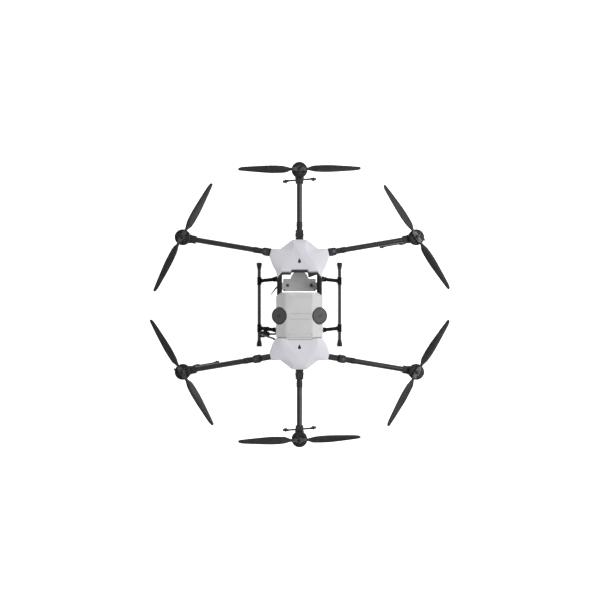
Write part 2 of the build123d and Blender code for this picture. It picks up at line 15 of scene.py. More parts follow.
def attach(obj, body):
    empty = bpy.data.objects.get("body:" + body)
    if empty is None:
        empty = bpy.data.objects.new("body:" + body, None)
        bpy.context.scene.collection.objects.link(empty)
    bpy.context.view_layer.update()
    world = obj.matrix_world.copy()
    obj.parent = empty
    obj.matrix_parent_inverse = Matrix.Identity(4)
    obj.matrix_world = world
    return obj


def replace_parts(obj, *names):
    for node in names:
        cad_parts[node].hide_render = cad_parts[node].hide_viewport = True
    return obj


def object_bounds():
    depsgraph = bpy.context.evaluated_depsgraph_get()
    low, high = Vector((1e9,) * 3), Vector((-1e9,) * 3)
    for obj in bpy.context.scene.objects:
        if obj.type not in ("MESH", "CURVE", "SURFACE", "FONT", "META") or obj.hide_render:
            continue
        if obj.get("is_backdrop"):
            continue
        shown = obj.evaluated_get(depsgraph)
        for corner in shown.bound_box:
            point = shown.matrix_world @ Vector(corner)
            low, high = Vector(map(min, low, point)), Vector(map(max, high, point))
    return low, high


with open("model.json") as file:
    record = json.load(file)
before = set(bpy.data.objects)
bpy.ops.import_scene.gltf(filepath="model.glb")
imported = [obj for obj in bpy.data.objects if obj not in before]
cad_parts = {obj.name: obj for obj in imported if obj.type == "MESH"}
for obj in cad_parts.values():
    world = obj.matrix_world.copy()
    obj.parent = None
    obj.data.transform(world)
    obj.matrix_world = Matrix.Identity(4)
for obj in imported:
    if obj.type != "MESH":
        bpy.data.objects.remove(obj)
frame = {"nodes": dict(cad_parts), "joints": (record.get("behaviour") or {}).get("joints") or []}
cad_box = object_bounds()
MM = 0.001
joints = {joint["name"]: joint for joint in frame["joints"]}
arms = [name.removeprefix("fold_") for name in joints if name.startswith("fold_")]
print(len(frame["nodes"]), "parts,", len(joints), "joints, arms:", arms)

# %% [markdown]
# ## A frame for each arm
# All six arms are alike, so each is modelled once in its own frame: x runs out along the tube
# from the fold's pivot, y is to the left and z is up. A 4x4 matrix then carries the points to
# the real arm. The joints already hold the numbers: the lock ring turns about the tube, and
# the rotor spins about the motor's axis.


# %% One matrix for each arm
def frame_matrix(origin, x_axis, z_axis=(0, 0, 1)):
    """A matrix whose x axis is exact and whose z axis is as near as it can be."""
    x = Vector(x_axis).normalized()
    y = Vector(z_axis).cross(x).normalized()
    z = x.cross(y)
    turn = Matrix((x, y, z)).transposed().to_4x4()
    return Matrix.Translation(origin) @ turn


arm_frame, reach = {}, {}
for arm in arms:
    lock = joints["lock_" + arm]
    arm_frame[arm] = frame_matrix(lock["pos_m"], lock["axis"])
    motor = Vector(joints["rotor_spin_" + arm]["pos_m"])
    reach[arm] = (motor - Vector(lock["pos_m"])).xy.length
folds_down = {arm: abs(joints["fold_" + arm]["axis"][2]) < 0.5 for arm in arms}
print({arm: round(reach[arm], 4) for arm in arms})

# %% [markdown]
# ## Small tools for building meshes
# Most machine parts are turned or sawn: a profile spun about an axis, or an outline pushed
# through a height. Three helpers cover both, and write into a `bmesh`, Blender's editable mesh.
# They also lay out UVs in metres, so a brushed or woven finish keeps its real scale.


# %% Spin a profile about an axis
def spin(bm, profile, place=Matrix(), steps=48, material=0, ring=False):
    """Turns (radius, height) points about the local z axis of `place`. A profile that starts and
    ends on the axis is closed by its poles, and a ring's profile is a loop."""
    uv_layer = bm.loops.layers.uv.verify()
    lengths = [0.0]
    points = list(profile) + ([profile[0]] if ring else [])
    for (r0, h0), (r1, h1) in zip(points, points[1:]):
        lengths.append(lengths[-1] + hypot(r1 - r0, h1 - h0))
    widest = max(r for r, _ in profile)
    rows = []
    for r, h in profile:
        if r < 1e-7:
            rows.append([bm.verts.new(place @ Vector((0, 0, h)))] * steps)
            continue
        circle = [2 * pi * k / steps for k in range(steps)]
        rows.append([bm.verts.new(place @ Vector((r * cos(a), r * sin(a), h))) for a in circle])
    if ring:
        rows.append(rows[0])
    for row, (low, high) in enumerate(zip(rows, rows[1:])):
        for k in range(steps):
            following = (k + 1) % steps
            corners = [low[k], low[following], high[following], high[k]]
            spots = [(k, row), (k + 1, row), (k + 1, row + 1), (k, row + 1)]
            kept = [i for i, v in enumerate(corners) if corners.index(v) == i]
            if len(kept) < 3:
                continue
            face = bm.faces.new([corners[i] for i in kept])
            face.material_index = material
            for loop, i in zip(face.loops, kept):
                step, line = spots[i]
                loop[uv_layer].uv = (2 * pi * widest * step / steps, lengths[line])
    return rows


def solid_turned(profile):
    """Closes a profile on the axis at both ends."""
    first, last = profile[0], profile[-1]
    start = [] if first[0] < 1e-7 else [(0, first[1])]
    end = [] if last[0] < 1e-7 else [(0, last[1])]
    return start + list(profile) + end


# %% Push an outline through a height
def extrude_outline(bm, outline, low, high, place=Matrix(), material=0):
    """A prism on a closed outline of (x, y) points, in the local frame of `place`."""
    bottom = [bm.verts.new(place @ Vector((x, y, low))) for x, y in outline]
    top = [bm.verts.new(place @ Vector((x, y, high))) for x, y in outline]
    faces = [bm.faces.new(list(reversed(bottom))), bm.faces.new(top)]
    for k in range(len(outline)):
        following = (k + 1) % len(outline)
        faces.append(bm.faces.new((bottom[k], bottom[following], top[following], top[k])))
    for face in faces:
        face.material_index = material
    return faces


def brick(bm, low, high, place=Matrix(), material=0):
    """A box between two corners of the local frame."""
    (x0, y0, z0), (x1, y1, z1) = low, high
    return extrude_outline(bm, [(x0, y0), (x1, y0), (x1, y1), (x0, y1)], z0, z1, place, material)


def arc(cx, cy, radius, start, end, steps):
    """Points along an arc, with its angles in degrees."""
    angles = [radians(start + (end - start) * k / steps) for k in range(steps + 1)]
    return [(cx + radius * cos(a), cy + radius * sin(a)) for a in angles]


def rounded_box_outline(x0, x1, y0, y1, radius, steps=5):
    """A rectangle with round corners."""
    return (
        arc(x1 - radius, y1 - radius, radius, 0, 90, steps)
        + arc(x0 + radius, y1 - radius, radius, 90, 180, steps)
        + arc(x0 + radius, y0 + radius, radius, 180, 270, steps)
        + arc(x1 - radius, y0 + radius, radius, 270, 360, steps)
    )


# %% Follow a path with a round section
def sweep_round(bm, path, radii, steps=16, material=0):
    """A closed tube along a list of points. `radii` is one radius or one for each point."""
    path = [Vector(p) for p in path]
    if isinstance(radii, (int, float)):
        radii = [radii] * len(path)
    tangents = []
    for k in range(len(path)):
        before, after = path[max(k - 1, 0)], path[min(k + 1, len(path) - 1)]
        tangents.append((after - before).normalized())
    side = tangents[0].orthogonal().normalized()
    rows, uv_layer, run = [], bm.loops.layers.uv.verify(), [0.0]
    for k, (point, tangent, radius) in enumerate(zip(path, tangents, radii)):
        side = (side - tangent * side.dot(tangent)).normalized()
        up = tangent.cross(side)
        turn = [2 * pi * i / steps for i in range(steps)]
        rows.append([bm.verts.new(point + radius * (side * cos(a) + up * sin(a))) for a in turn])
        if k:
            run.append(run[-1] + (path[k] - path[k - 1]).length)
    for k, (low, high) in enumerate(zip(rows, rows[1:])):
        for i in range(steps):
            j = (i + 1) % steps
            face = bm.faces.new((low[i], low[j], high[j], high[i]))
            face.material_index = material
            around = 2 * pi * radii[k] / steps
            spots = [(i * around, run[k]), ((i + 1) * around, run[k])]
            spots += [((i + 1) * around, run[k + 1]), (i * around, run[k + 1])]
            for loop, spot in zip(face.loops, spots):
                loop[uv_layer].uv = spot
    for end in (list(reversed(rows[0])), rows[-1]):
        bm.faces.new(end).material_index = material


def smooth_path(points, share=0.45, steps=6):
    """A path of straight runs whose corners are rounded by curves."""
    points = [Vector(p) for p in points]
    path = [points[0]]
    for before, corner, after in zip(points, points[1:], points[2:]):
        start = corner.lerp(before, share)
        end = corner.lerp(after, share)
        for k in range(steps + 1):
            t = k / steps
            path.append(start.lerp(corner, t).lerp(corner.lerp(end, t), t))
    return path + [points[-1]]


# %% [markdown]
# ## Finishing a piece
# A real edge is never razor sharp. `finish_piece` rounds the sharp edges of a `bmesh` with a
# small bevel, makes the curved faces shade smoothly, gives the mesh its materials, and lets
# the piece ride on its body, so that it moves when the drone folds.


# %% Round the edges and hand the piece to its body
made = []


def soften(bm, width, segments=2, over=32):
    """Bevels every edge between faces that meet at more than `over` degrees."""
    sharp = [
        edge for edge in bm.edges
        if len(edge.link_faces) == 2 and edge.calc_face_angle(0) > radians(over)
    ]
    bmesh.ops.bevel(
        bm, geom=sharp, offset=width, segments=segments, profile=0.7,
        affect="EDGES", clamp_overlap=True,
    )


def finish_piece(bm, name, body, materials, bevel=0.0, segments=2, over=32):
    """Turns a bmesh into a finished object that rides on a body."""
    if bevel:
        soften(bm, bevel, segments, over)
    bmesh.ops.recalc_face_normals(bm, faces=bm.faces)
    mesh = bpy.data.meshes.new(name)
    bm.to_mesh(mesh)
    bm.free()
    return settle(mesh, name, body, materials)


def settle(mesh, name, body, materials, smooth=38):
    """Gives a mesh its materials and smooth shading, and lets its object ride on a body."""
    if materials:
        mesh.materials.clear()
        for material in materials if isinstance(materials, (list, tuple)) else [materials]:
            mesh.materials.append(material)
    mesh.shade_smooth()
    mesh.set_sharp_from_angle(angle=radians(smooth))
    piece = bpy.data.objects.new(name, mesh)
    bpy.context.scene.collection.objects.link(piece)
    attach(piece, body)
    made.append(piece)
    return piece


# %% [markdown]
# ## Effects that several finishes share
# Grain, settled dust, rubbed edges, carbon weave and lathe lines are each built once as a node
# group with named inputs and outputs. A group only hands out masks and heights that vary over
# the surface, and each material decides what to do with them.


# %% A helper for node groups
def node_group(name, inputs, outputs):
    """An empty shader group: inputs are {name: (socket kind, default)}, outputs are names of numbers."""
    tree = bpy.data.node_groups.new(name, "ShaderNodeTree")
    for label, (kind, value) in inputs.items():
        socket = tree.interface.new_socket(label, in_out="INPUT", socket_type="NodeSocket" + kind)
        if value is not None:
            socket.default_value = value
    for label in outputs:
        tree.interface.new_socket(label, in_out="OUTPUT", socket_type="NodeSocketFloat")
    return tree, tree.nodes.new("NodeGroupInput"), tree.nodes.new("NodeGroupOutput")


def link_all(tree, *pairs):
    """Joins (output socket, input socket) pairs."""
    for source, target in pairs:
        tree.links.new(source, target)


def sums(tree, operation, a, b=None, c=None, clamp=False):
    """A Math node: each of a, b and c is a number or a socket. Returns its output."""
    node = tree.nodes.new("ShaderNodeMath")
    node.operation = operation
    node.use_clamp = clamp
    for socket, value in zip(node.inputs, (a, b, c)):
        if value is None:
            continue
        if isinstance(value, (int, float)):
            socket.default_value = value
        else:
            tree.links.new(value, socket)
    return node.outputs[0]


def noise(tree, vector, scale, detail=3.0, rough=0.5):
    """A Noise node on a vector; the scale is a number or a socket. Returns its value."""
    node = tree.nodes.new("ShaderNodeTexNoise")
    node.inputs["Detail"].default_value = detail
    node.inputs["Roughness"].default_value = rough
    tree.links.new(vector, node.inputs["Vector"])
    if isinstance(scale, (int, float)):
        node.inputs["Scale"].default_value = scale
    else:
        tree.links.new(scale, node.inputs["Scale"])
    return node.outputs["Fac"]


def fade(tree, value, low, high):
    """0 below `low`, 1 above `high`, and smooth between."""
    node = tree.nodes.new("ShaderNodeMapRange")
    node.interpolation_type = "SMOOTHSTEP"
    node.inputs["From Min"].default_value = low
    node.inputs["From Max"].default_value = high
    tree.links.new(value, node.inputs["Value"])
    return node.outputs["Result"]


# %% Grain, patches, dust and rubbed edges
def build_grain():
    """Fine moulded texture, and slow patches of tone over it."""
    tree, given, result = node_group("Moulded grain", {"Scale": ("Float", 1500.0)}, ["Height", "Patches"])
    spot = tree.nodes.new("ShaderNodeTexCoord").outputs["Object"]
    fine = noise(tree, spot, given.outputs["Scale"], 2.0)
    patches = fade(tree, noise(tree, spot, 14.0, 4.0), 0.3, 0.7)
    link_all(tree, (fine, result.inputs["Height"]), (patches, result.inputs["Patches"]))
    return tree


def build_dust():
    """Dust that has settled on what faces up, thicker in some places."""
    tree, given, result = node_group("Settled dust", {"Amount": ("Float", 0.2)}, ["Mask"])
    spot = tree.nodes.new("ShaderNodeTexCoord").outputs["Object"]
    facing = tree.nodes.new("ShaderNodeSeparateXYZ")
    tree.links.new(tree.nodes.new("ShaderNodeNewGeometry").outputs["Normal"], facing.inputs[0])
    upward = fade(tree, facing.outputs["Z"], 0.2, 0.95)
    cloudy = fade(tree, noise(tree, spot, 38.0, 6.0, 0.65), 0.35, 0.75)
    specks = fade(tree, noise(tree, spot, 900.0, 1.0), 0.62, 0.72)
    cover = sums(tree, "ADD", sums(tree, "MULTIPLY", cloudy, 0.6), sums(tree, "MULTIPLY", specks, 0.5))
    mask = sums(tree, "MULTIPLY", sums(tree, "MULTIPLY", cover, upward), given.outputs["Amount"], clamp=True)
    link_all(tree, (mask, result.inputs["Mask"]))
    return tree


def build_wear():
    """Edges rubbed by hands and tools: convex places, broken up by noise."""
    tree, given, result = node_group("Rubbed edges", {"Amount": ("Float", 0.5)}, ["Mask"])
    spot = tree.nodes.new("ShaderNodeTexCoord").outputs["Object"]
    convex = fade(tree, tree.nodes.new("ShaderNodeNewGeometry").outputs["Pointiness"], 0.53, 0.62)
    broken = fade(tree, noise(tree, spot, 160.0, 5.0, 0.7), 0.42, 0.62)
    mask = sums(tree, "MULTIPLY", sums(tree, "MULTIPLY", convex, broken), given.outputs["Amount"])
    link_all(tree, (mask, result.inputs["Mask"]))
    return tree


# %% [markdown]
# ### Woven carbon and lathe lines
# Carbon cloth is a twill: each tow goes over two and under two, one step further along in each
# row. Whole-number arithmetic on the two directions of the cloth says which tow is on top, and
# the distance from that tow's middle gives its rounded height. A lathe leaves fine rings, which
# follow the profile's length, so they read the second UV coordinate.


# %% Carbon twill and lathe lines
def build_twill():
    """A two-over-two twill of flat tows."""
    inputs = {"Vector": ("Vector", None), "Tow": ("Float", 0.002)}
    tree, given, result = node_group("Carbon twill", inputs, ["Height", "Warp"])
    parts = tree.nodes.new("ShaderNodeSeparateXYZ")
    tree.links.new(given.outputs["Vector"], parts.inputs[0])
    u = sums(tree, "DIVIDE", parts.outputs["X"], given.outputs["Tow"])
    v = sums(tree, "DIVIDE", parts.outputs["Y"], given.outputs["Tow"])
    step = sums(tree, "ADD", sums(tree, "FLOOR", u), sums(tree, "FLOOR", v))
    warp = sums(tree, "LESS_THAN", sums(tree, "FLOORED_MODULO", step, 4.0), 1.5)
    across = []
    for direction in (u, v):
        off_middle = sums(tree, "MULTIPLY_ADD", sums(tree, "FRACT", direction), 2.0, -1.0)
        edge = sums(tree, "POWER", sums(tree, "ABSOLUTE", off_middle), 3.0)
        across.append(sums(tree, "SUBTRACT", 1.0, edge))
    over = sums(tree, "MULTIPLY", across[0], warp)
    under = sums(tree, "MULTIPLY", across[1], sums(tree, "SUBTRACT", 1.0, warp))
    height = sums(tree, "ADD", over, under)
    link_all(tree, (height, result.inputs["Height"]), (warp, result.inputs["Warp"]))
    return tree


def build_lathe_lines():
    """Fine rings left by a turning tool."""
    inputs = {"Vector": ("Vector", None), "Lines": ("Float", 2500.0)}
    tree, given, result = node_group("Lathe lines", inputs, ["Height", "Bands"])
    parts = tree.nodes.new("ShaderNodeSeparateXYZ")
    tree.links.new(given.outputs["Vector"], parts.inputs[0])
    line = tree.nodes.new("ShaderNodeCombineXYZ")
    tree.links.new(parts.outputs["Y"], line.inputs["X"])
    rings = noise(tree, line.outputs[0], given.outputs["Lines"], 1.0)
    bands = fade(tree, noise(tree, line.outputs[0], 260.0, 2.0), 0.35, 0.65)
    link_all(tree, (rings, result.inputs["Height"]), (bands, result.inputs["Bands"]))
    return tree


effects = {
    "grain": build_grain(),
    "dust": build_dust(),
    "wear": build_wear(),
    "twill": build_twill(),
    "lathe": build_lathe_lines(),
}
print("effects:", sorted(effects))

# %% [markdown]
# ## One recipe for a finish
# Every finish starts from the same Principled shader: a colour that drifts a little in patches,
# edges that are rubbed lighter, a film of dust, and a bump from grain, weave or lathe lines.
# Only the numbers differ, so one function writes them all, and plain values stay on the shader.


# %% The recipe
dust_colour = (0.42, 0.40, 0.37)


def blend_colour(tree, share, first, second):
    """Mixes two colours, each a socket or an (r, g, b), by a mask."""
    node = tree.nodes.new("ShaderNodeMix")
    node.data_type = "RGBA"
    tree.links.new(share, node.inputs[0])
    for socket, value in ((node.inputs[6], first), (node.inputs[7], second)):
        if isinstance(value, tuple):
            socket.default_value = (*value, 1.0)
        else:
            tree.links.new(value, socket)
    return node.outputs[2]


def effect(tree, name, **values):
    """Places a shared effect in a material."""
    node = tree.nodes.new("ShaderNodeGroup")
    node.node_tree = effects[name]
    for label, value in values.items():
        if isinstance(value, (int, float)):
            node.inputs[label].default_value = value
        else:
            tree.links.new(value, node.inputs[label])
    return node.outputs


def finish(
    name, colour, rough, metallic=0.0, drift=0.12, grain=1500.0, bump=0.08, reach_of_bump=0.0002,
    wear=0.0, bare=(0.5, 0.5, 0.5), dust=0.1, pattern=None, tow=0.002, second=None, on_uv=True, **plain
):
    """A finish: colour, roughness, and the strength of each effect. `plain` goes on the shader as it is."""
    material = bpy.data.materials.new(name)
    material.use_nodes = True
    tree = material.node_tree
    shader = tree.nodes["Principled BSDF"]
    shader.inputs["Metallic"].default_value = metallic
    for label, value in plain.items():
        shader.inputs[label.replace("_", " ")].default_value = value
    coordinates = tree.nodes.new("ShaderNodeTexCoord")
    spot = coordinates.outputs["UV" if on_uv else "Object"]
    tone = effect(tree, "grain", Scale=grain)
    darker = tuple(c * (1 - drift) for c in colour)
    lighter = tuple(min(1.0, c * (1 + drift)) for c in colour)
    shown = blend_colour(tree, tone["Patches"], darker, lighter)
    height = tone["Height"]
    gloss = sums(tree, "MULTIPLY_ADD", tone["Patches"], 0.08, rough - 0.04)
    if pattern == "twill":
        weave = effect(tree, "twill", Vector=spot, Tow=tow)
        # the warp tows take the lighter `second` colour: a painted sheen, as if light caught the tows that
        # run one way; the weave itself is real
        shown = blend_colour(tree, weave["Warp"], shown, second)
        height = weave["Height"]
        gloss = sums(tree, "MULTIPLY_ADD", weave["Warp"], 0.12, gloss)
    if pattern == "lathe":
        lines = effect(tree, "lathe", Vector=spot)
        shown = blend_colour(tree, lines["Bands"], shown, second)
        height = lines["Height"]
        gloss = sums(tree, "MULTIPLY_ADD", lines["Bands"], 0.1, gloss)
    if wear:
        rubbed = effect(tree, "wear", Amount=wear)["Mask"]
        shown = blend_colour(tree, rubbed, shown, bare)
    if dust:
        film = effect(tree, "dust", Amount=dust)["Mask"]
        shown = blend_colour(tree, film, shown, dust_colour)
        gloss = sums(tree, "MULTIPLY_ADD", film, 0.5, gloss, clamp=True)
    relief = tree.nodes.new("ShaderNodeBump")
    relief.inputs["Strength"].default_value = bump
    relief.inputs["Distance"].default_value = reach_of_bump
    link_all(
        tree,
        (shown, shader.inputs["Base Color"]),
        (gloss, shader.inputs["Roughness"]),
        (height, relief.inputs["Height"]),
        (relief.outputs["Normal"], shader.inputs["Normal"]),
    )
    return material


# %% [markdown]
# ### The finishes of this machine
# Black parts are not all the same black. Tubes are carbon cloth under clear resin, castings are
# glass-filled nylon with a dull grain, the motor bells are black anodised aluminium straight off
# the lathe, and the propellers are a slightly lighter grey composite. The covers are gloss white
# with a cool tint, and the tank is a milky, blow-moulded plastic that lets some light in.

# %% Every finish, by name
dull = {"Specular_IOR_Level": 0.3}
# in the twill finishes, `second` is a lighter black for the warp tows: a painted sheen on the real weave
carbon_tube_skin = finish(
    "carbon_tube", (0.009, 0.009, 0.01), 0.32, pattern="twill", tow=0.0022, second=(0.02, 0.02, 0.021),
    bump=0.22, dust=0.05, Coat_Weight=0.35, Coat_Roughness=0.16, **dull,
)
carbon_plate_skin = finish(
    "carbon_plate", (0.009, 0.009, 0.01), 0.36, pattern="twill", tow=0.0022, on_uv=False,
    second=(0.018, 0.018, 0.019), bump=0.2, dust=0.08, Coat_Weight=0.2, Coat_Roughness=0.2, **dull,
)
nylon = finish("filled_nylon", (0.012, 0.012, 0.013), 0.5, grain=1100.0, bump=0.35, wear=0.25,
               bare=(0.07, 0.07, 0.07), dust=0.08, **dull)
anodised = finish("black_anodised", (0.016, 0.016, 0.018), 0.36, metallic=0.75, bump=0.15, wear=0.6,
                  bare=(0.36, 0.36, 0.37), dust=0.05, grain=2400.0, **dull)
bell_skin = finish(
    "turned_bell", (0.015, 0.015, 0.017), 0.36, metallic=0.7, pattern="lathe", second=(0.026, 0.026, 0.028),
    bump=0.3, wear=0.5, bare=(0.35, 0.35, 0.37), dust=0.05, **dull,
)
blade_skin = finish("blade_composite", (0.016, 0.016, 0.0175), 0.44, grain=900.0, bump=0.22, wear=0.2,
                    bare=(0.09, 0.09, 0.09), dust=0.06, **dull)
steel = finish("screw_steel", (0.10, 0.10, 0.105), 0.34, metallic=1.0, bump=0.1, wear=0.4,
               bare=(0.5, 0.5, 0.5), dust=0.03)
black_screw = finish("blackened_screw", (0.022, 0.022, 0.024), 0.38, metallic=0.8, bump=0.1, wear=0.5,
                     bare=(0.3, 0.3, 0.31), dust=0.03)
copper = finish("enamelled_copper", (0.30, 0.09, 0.025), 0.34, metallic=0.9, pattern="lathe",
                second=(0.38, 0.14, 0.04), bump=0.5, dust=0.0)
core_steel = finish("laminated_core", (0.06, 0.06, 0.065), 0.45, metallic=0.8, pattern="lathe",
                    second=(0.1, 0.1, 0.105), bump=0.4, dust=0.03)
cover_skin = finish(
    "white_cover", (0.66, 0.66, 0.71), 0.36, grain=420.0, bump=0.05, drift=0.012, dust=0.04,
    Coat_Weight=0.1, Coat_Roughness=0.2, **dull,
)
emblem_ink = finish("emblem_ink", (0.008, 0.01, 0.055), 0.45, drift=0.15, dust=0.0, bump=0.03, **dull)
tank_skin_material = finish(
    "milky_tank", (0.58, 0.585, 0.58), 0.45, grain=260.0, bump=0.2, drift=0.03, dust=0.06,
    Subsurface_Weight=0.15, Subsurface_Radius=(0.012, 0.012, 0.011), Subsurface_Scale=1.0,
)
lid_skin = finish("lid_plastic", (0.03, 0.03, 0.032), 0.5, grain=800.0, bump=0.4, wear=0.3,
                  bare=(0.12, 0.12, 0.12), dust=0.12)
lid_top_skin = finish("lid_top", (0.055, 0.055, 0.057), 0.55, grain=1600.0, bump=0.6, dust=0.15)
# the rail and leg tubes also get a painted sheen: their `second` colour lightens the warp tows
rail_skin = finish(
    "rail_tube", (0.009, 0.009, 0.01), 0.55, pattern="twill", tow=0.0022, second=(0.016, 0.016, 0.017),
    bump=0.2, dust=0.05, Specular_IOR_Level=0.12,
)
leg_tube_skin = finish(
    "leg_tube", (0.008, 0.008, 0.009), 0.6, pattern="twill", tow=0.0022, second=(0.015, 0.015, 0.016),
    bump=0.15, dust=0.03, Specular_IOR_Level=0.0,
)
leg_fitting_skin = finish("leg_fitting", (0.009, 0.009, 0.01), 0.65, grain=1100.0, bump=0.35, wear=0.2,
                          bare=(0.05, 0.05, 0.05), dust=0.04, Specular_IOR_Level=0.0)
tray_skin = finish("tray_sheet", (0.56, 0.56, 0.565), 0.6, grain=2200.0, bump=0.3,
                   wear=0.5, bare=(0.55, 0.55, 0.55), drift=0.05, dust=0.1)
rubber = finish("foot_rubber", (0.012, 0.012, 0.0125), 0.7, grain=600.0, bump=0.5, dust=0.14, wear=0.2,
                bare=(0.06, 0.056, 0.052), **dull)
hose_skin = finish("hose", (0.01, 0.01, 0.011), 0.45, pattern="lathe", second=(0.017, 0.017, 0.018),
                   bump=0.15, dust=0.08, **dull)
case_skin = finish("case_plastic", (0.02, 0.02, 0.023), 0.5, grain=1300.0, bump=0.3, wear=0.2,
                   bare=(0.1, 0.1, 0.1), **dull)
cap_skin = finish("nozzle_cap", (0.34, 0.39, 0.03), 0.4, grain=900.0, bump=0.15, dust=0.05, wear=0.2,
                  bare=(0.55, 0.6, 0.28))
brass = finish("brass_tip", (0.5, 0.32, 0.11), 0.3, metallic=1.0, pattern="lathe",
               second=(0.6, 0.42, 0.17), bump=0.2, dust=0.0)
mesh_skin = finish("strainer_mesh", (0.5, 0.52, 0.5), 0.5, grain=900.0, bump=0.3)
lamp_red = finish("lamp_red", (0.5, 0.02, 0.015), 0.15, drift=0.2, dust=0.03, Coat_Weight=1.0)
lamp_green = finish("lamp_green", (0.02, 0.4, 0.06), 0.15, drift=0.2, dust=0.03, Coat_Weight=1.0)
pad_skin = finish("foam_pad", (0.10, 0.10, 0.10), 0.9, grain=500.0, bump=0.8, dust=0.1)
print(len(bpy.data.materials), "finishes")

# %% [markdown]
# ## Geometry Nodes for what repeats
# Screws, ribs, fins and winding coils repeat by a rule, so a node tree makes them: change one
# input and the whole set follows. Each tree has named inputs, ends in Realize Instances and Set
# Material, and its result is turned into a plain mesh.


# %% Helpers for node trees
def geometry_tree(name, inputs):
    """An empty Geometry Nodes tree with a geometry in and out, named inputs and a Material input."""
    tree = bpy.data.node_groups.new(name, "GeometryNodeTree")
    tree.interface.new_socket("Geometry", in_out="INPUT", socket_type="NodeSocketGeometry")
    for label, (kind, value) in inputs.items():
        socket = tree.interface.new_socket(label, in_out="INPUT", socket_type="NodeSocket" + kind)
        socket.default_value = value
    tree.interface.new_socket("Material", in_out="INPUT", socket_type="NodeSocketMaterial")
    tree.interface.new_socket("Geometry", in_out="OUTPUT", socket_type="NodeSocketGeometry")
    return tree, tree.nodes.new("NodeGroupInput").outputs, tree.nodes.new("NodeGroupOutput").inputs


def add(tree, kind, sockets=None, **settings):
    """Adds a node. `settings` are its properties, and `sockets` are values or links for its inputs."""
    node = tree.nodes.new(kind)
    for key, value in settings.items():
        setattr(node, key, value)
    for key, value in (sockets or {}).items():
        if isinstance(value, bpy.types.NodeSocket):
            tree.links.new(value, node.inputs[key])
        else:
            node.inputs[key].default_value = value
    return node


def finish_tree(tree, geometry, given, result):
    """Every tree ends the same way."""
    real = add(tree, "GeometryNodeRealizeInstances", {"Geometry": geometry})
    sockets = {"Geometry": real.outputs[0], "Material": given["Material"]}
    dressed = add(tree, "GeometryNodeSetMaterial", sockets)
    tree.links.new(dressed.outputs[0], result["Geometry"])
    return tree


def grow(tree, material, source=None, **values):
    """Runs a tree on a mesh and returns the result as a plain mesh."""
    start = source or bpy.data.meshes.new("start")
    holder = bpy.data.objects.new("grown", start)
    bpy.context.scene.collection.objects.link(holder)
    modifier = holder.modifiers.new("grow", "NODES")
    modifier.node_group = tree
    sockets = {s.name: s.identifier for s in tree.interface.items_tree if s.in_out == "INPUT"}
    for label, value in values.items():
        modifier[sockets[label.replace("_", " ")]] = value
    modifier[sockets["Material"]] = material
    graph = bpy.context.evaluated_depsgraph_get()
    mesh = bpy.data.meshes.new_from_object(holder.evaluated_get(graph))
    holder.modifiers.remove(modifier)
    bpy.data.objects.remove(holder)
    bpy.data.meshes.remove(start)
    return mesh


# %% [markdown]
# ### Screws
# A socket-head screw is a disc with a hole. It starts as a filled circle that is pushed up, and
# its top face is shrunk and pushed back down. One instance goes on each point of a small mesh,
# turned to the point's `facing` and scaled by its `size`. All the screws of one body are one mesh.


# %% The screw tree
def build_screws():
    """Socket-head screws on points."""
    inputs = {"Head radius": ("Float", 0.003), "Head height": ("Float", 0.0016), "Sides": ("Int", 14)}
    tree, given, result = geometry_tree("Screw heads", inputs)
    base = add(
        tree, "GeometryNodeMeshCircle",
        {"Vertices": given["Sides"], "Radius": given["Head radius"]}, fill_type="NGON",
    )
    up = add(tree, "ShaderNodeCombineXYZ", {"Z": given["Head height"]})
    head = add(tree, "GeometryNodeExtrudeMesh", {"Mesh": base.outputs[0], "Offset": up.outputs[0]})
    rim = add(
        tree, "GeometryNodeExtrudeMesh",
        {"Mesh": head.outputs["Mesh"], "Selection": head.outputs["Top"], "Offset Scale": 0.0},
    )
    shrunk = add(
        tree, "GeometryNodeScaleElements",
        {"Geometry": rim.outputs["Mesh"], "Selection": rim.outputs["Top"], "Scale": 0.52},
    )
    depth = add(tree, "ShaderNodeMath", {0: given["Head height"], 1: -0.75}, operation="MULTIPLY")
    down = add(tree, "ShaderNodeCombineXYZ", {"Z": depth.outputs[0]})
    socket = add(
        tree, "GeometryNodeExtrudeMesh",
        {"Mesh": shrunk.outputs[0], "Selection": rim.outputs["Top"], "Offset": down.outputs[0]},
    )
    facing = add(tree, "GeometryNodeInputNamedAttribute", {"Name": "facing"}, data_type="FLOAT_VECTOR")
    size = add(tree, "GeometryNodeInputNamedAttribute", {"Name": "size"}, data_type="FLOAT")
    turn = add(
        tree, "FunctionNodeAlignRotationToVector", {"Vector": facing.outputs["Attribute"]}, axis="Z",
    )
    placed = add(
        tree, "GeometryNodeInstanceOnPoints",
        {
            "Points": given["Geometry"], "Instance": socket.outputs["Mesh"],
            "Rotation": turn.outputs[0], "Scale": size.outputs["Attribute"],
        },
    )
    return finish_tree(tree, placed.outputs[0], given, result)


screw_tree = build_screws()
screw_spots = {}


def screw(body, point, facing, size=1.0, place=Matrix()):
    """Notes one screw: its seat, the way its head faces and its size, in the frame of `place`."""
    spot = place @ Vector(point)
    way = (place.to_3x3() @ Vector(facing)).normalized()
    screw_spots.setdefault(body, []).append((spot, way, size))


def place_screws():
    """Makes one mesh of screws for each body that has any."""
    for body, spots in screw_spots.items():
        points = bpy.data.meshes.new("points")
        points.from_pydata([spot for spot, _, _ in spots], [], [])
        facing = points.attributes.new("facing", "FLOAT_VECTOR", "POINT")
        facing.data.foreach_set("vector", [c for _, way, _ in spots for c in way])
        size = points.attributes.new("size", "FLOAT", "POINT")
        size.data.foreach_set("value", [s for _, _, s in spots])
        mesh = grow(screw_tree, black_screw, points)
        settle(mesh, "screws_" + body, body, None)
        print(body, len(spots), "screws", end="; ")


# %% [markdown]
# ### Blocks round a circle and in a row
# Motor coils, grip ridges and lid ribs are small blocks spread round a circle, and cooling fins
# are blocks in a row. Both trees place one block on evenly spaced points, and the block has its
# edges cut so that it catches light.


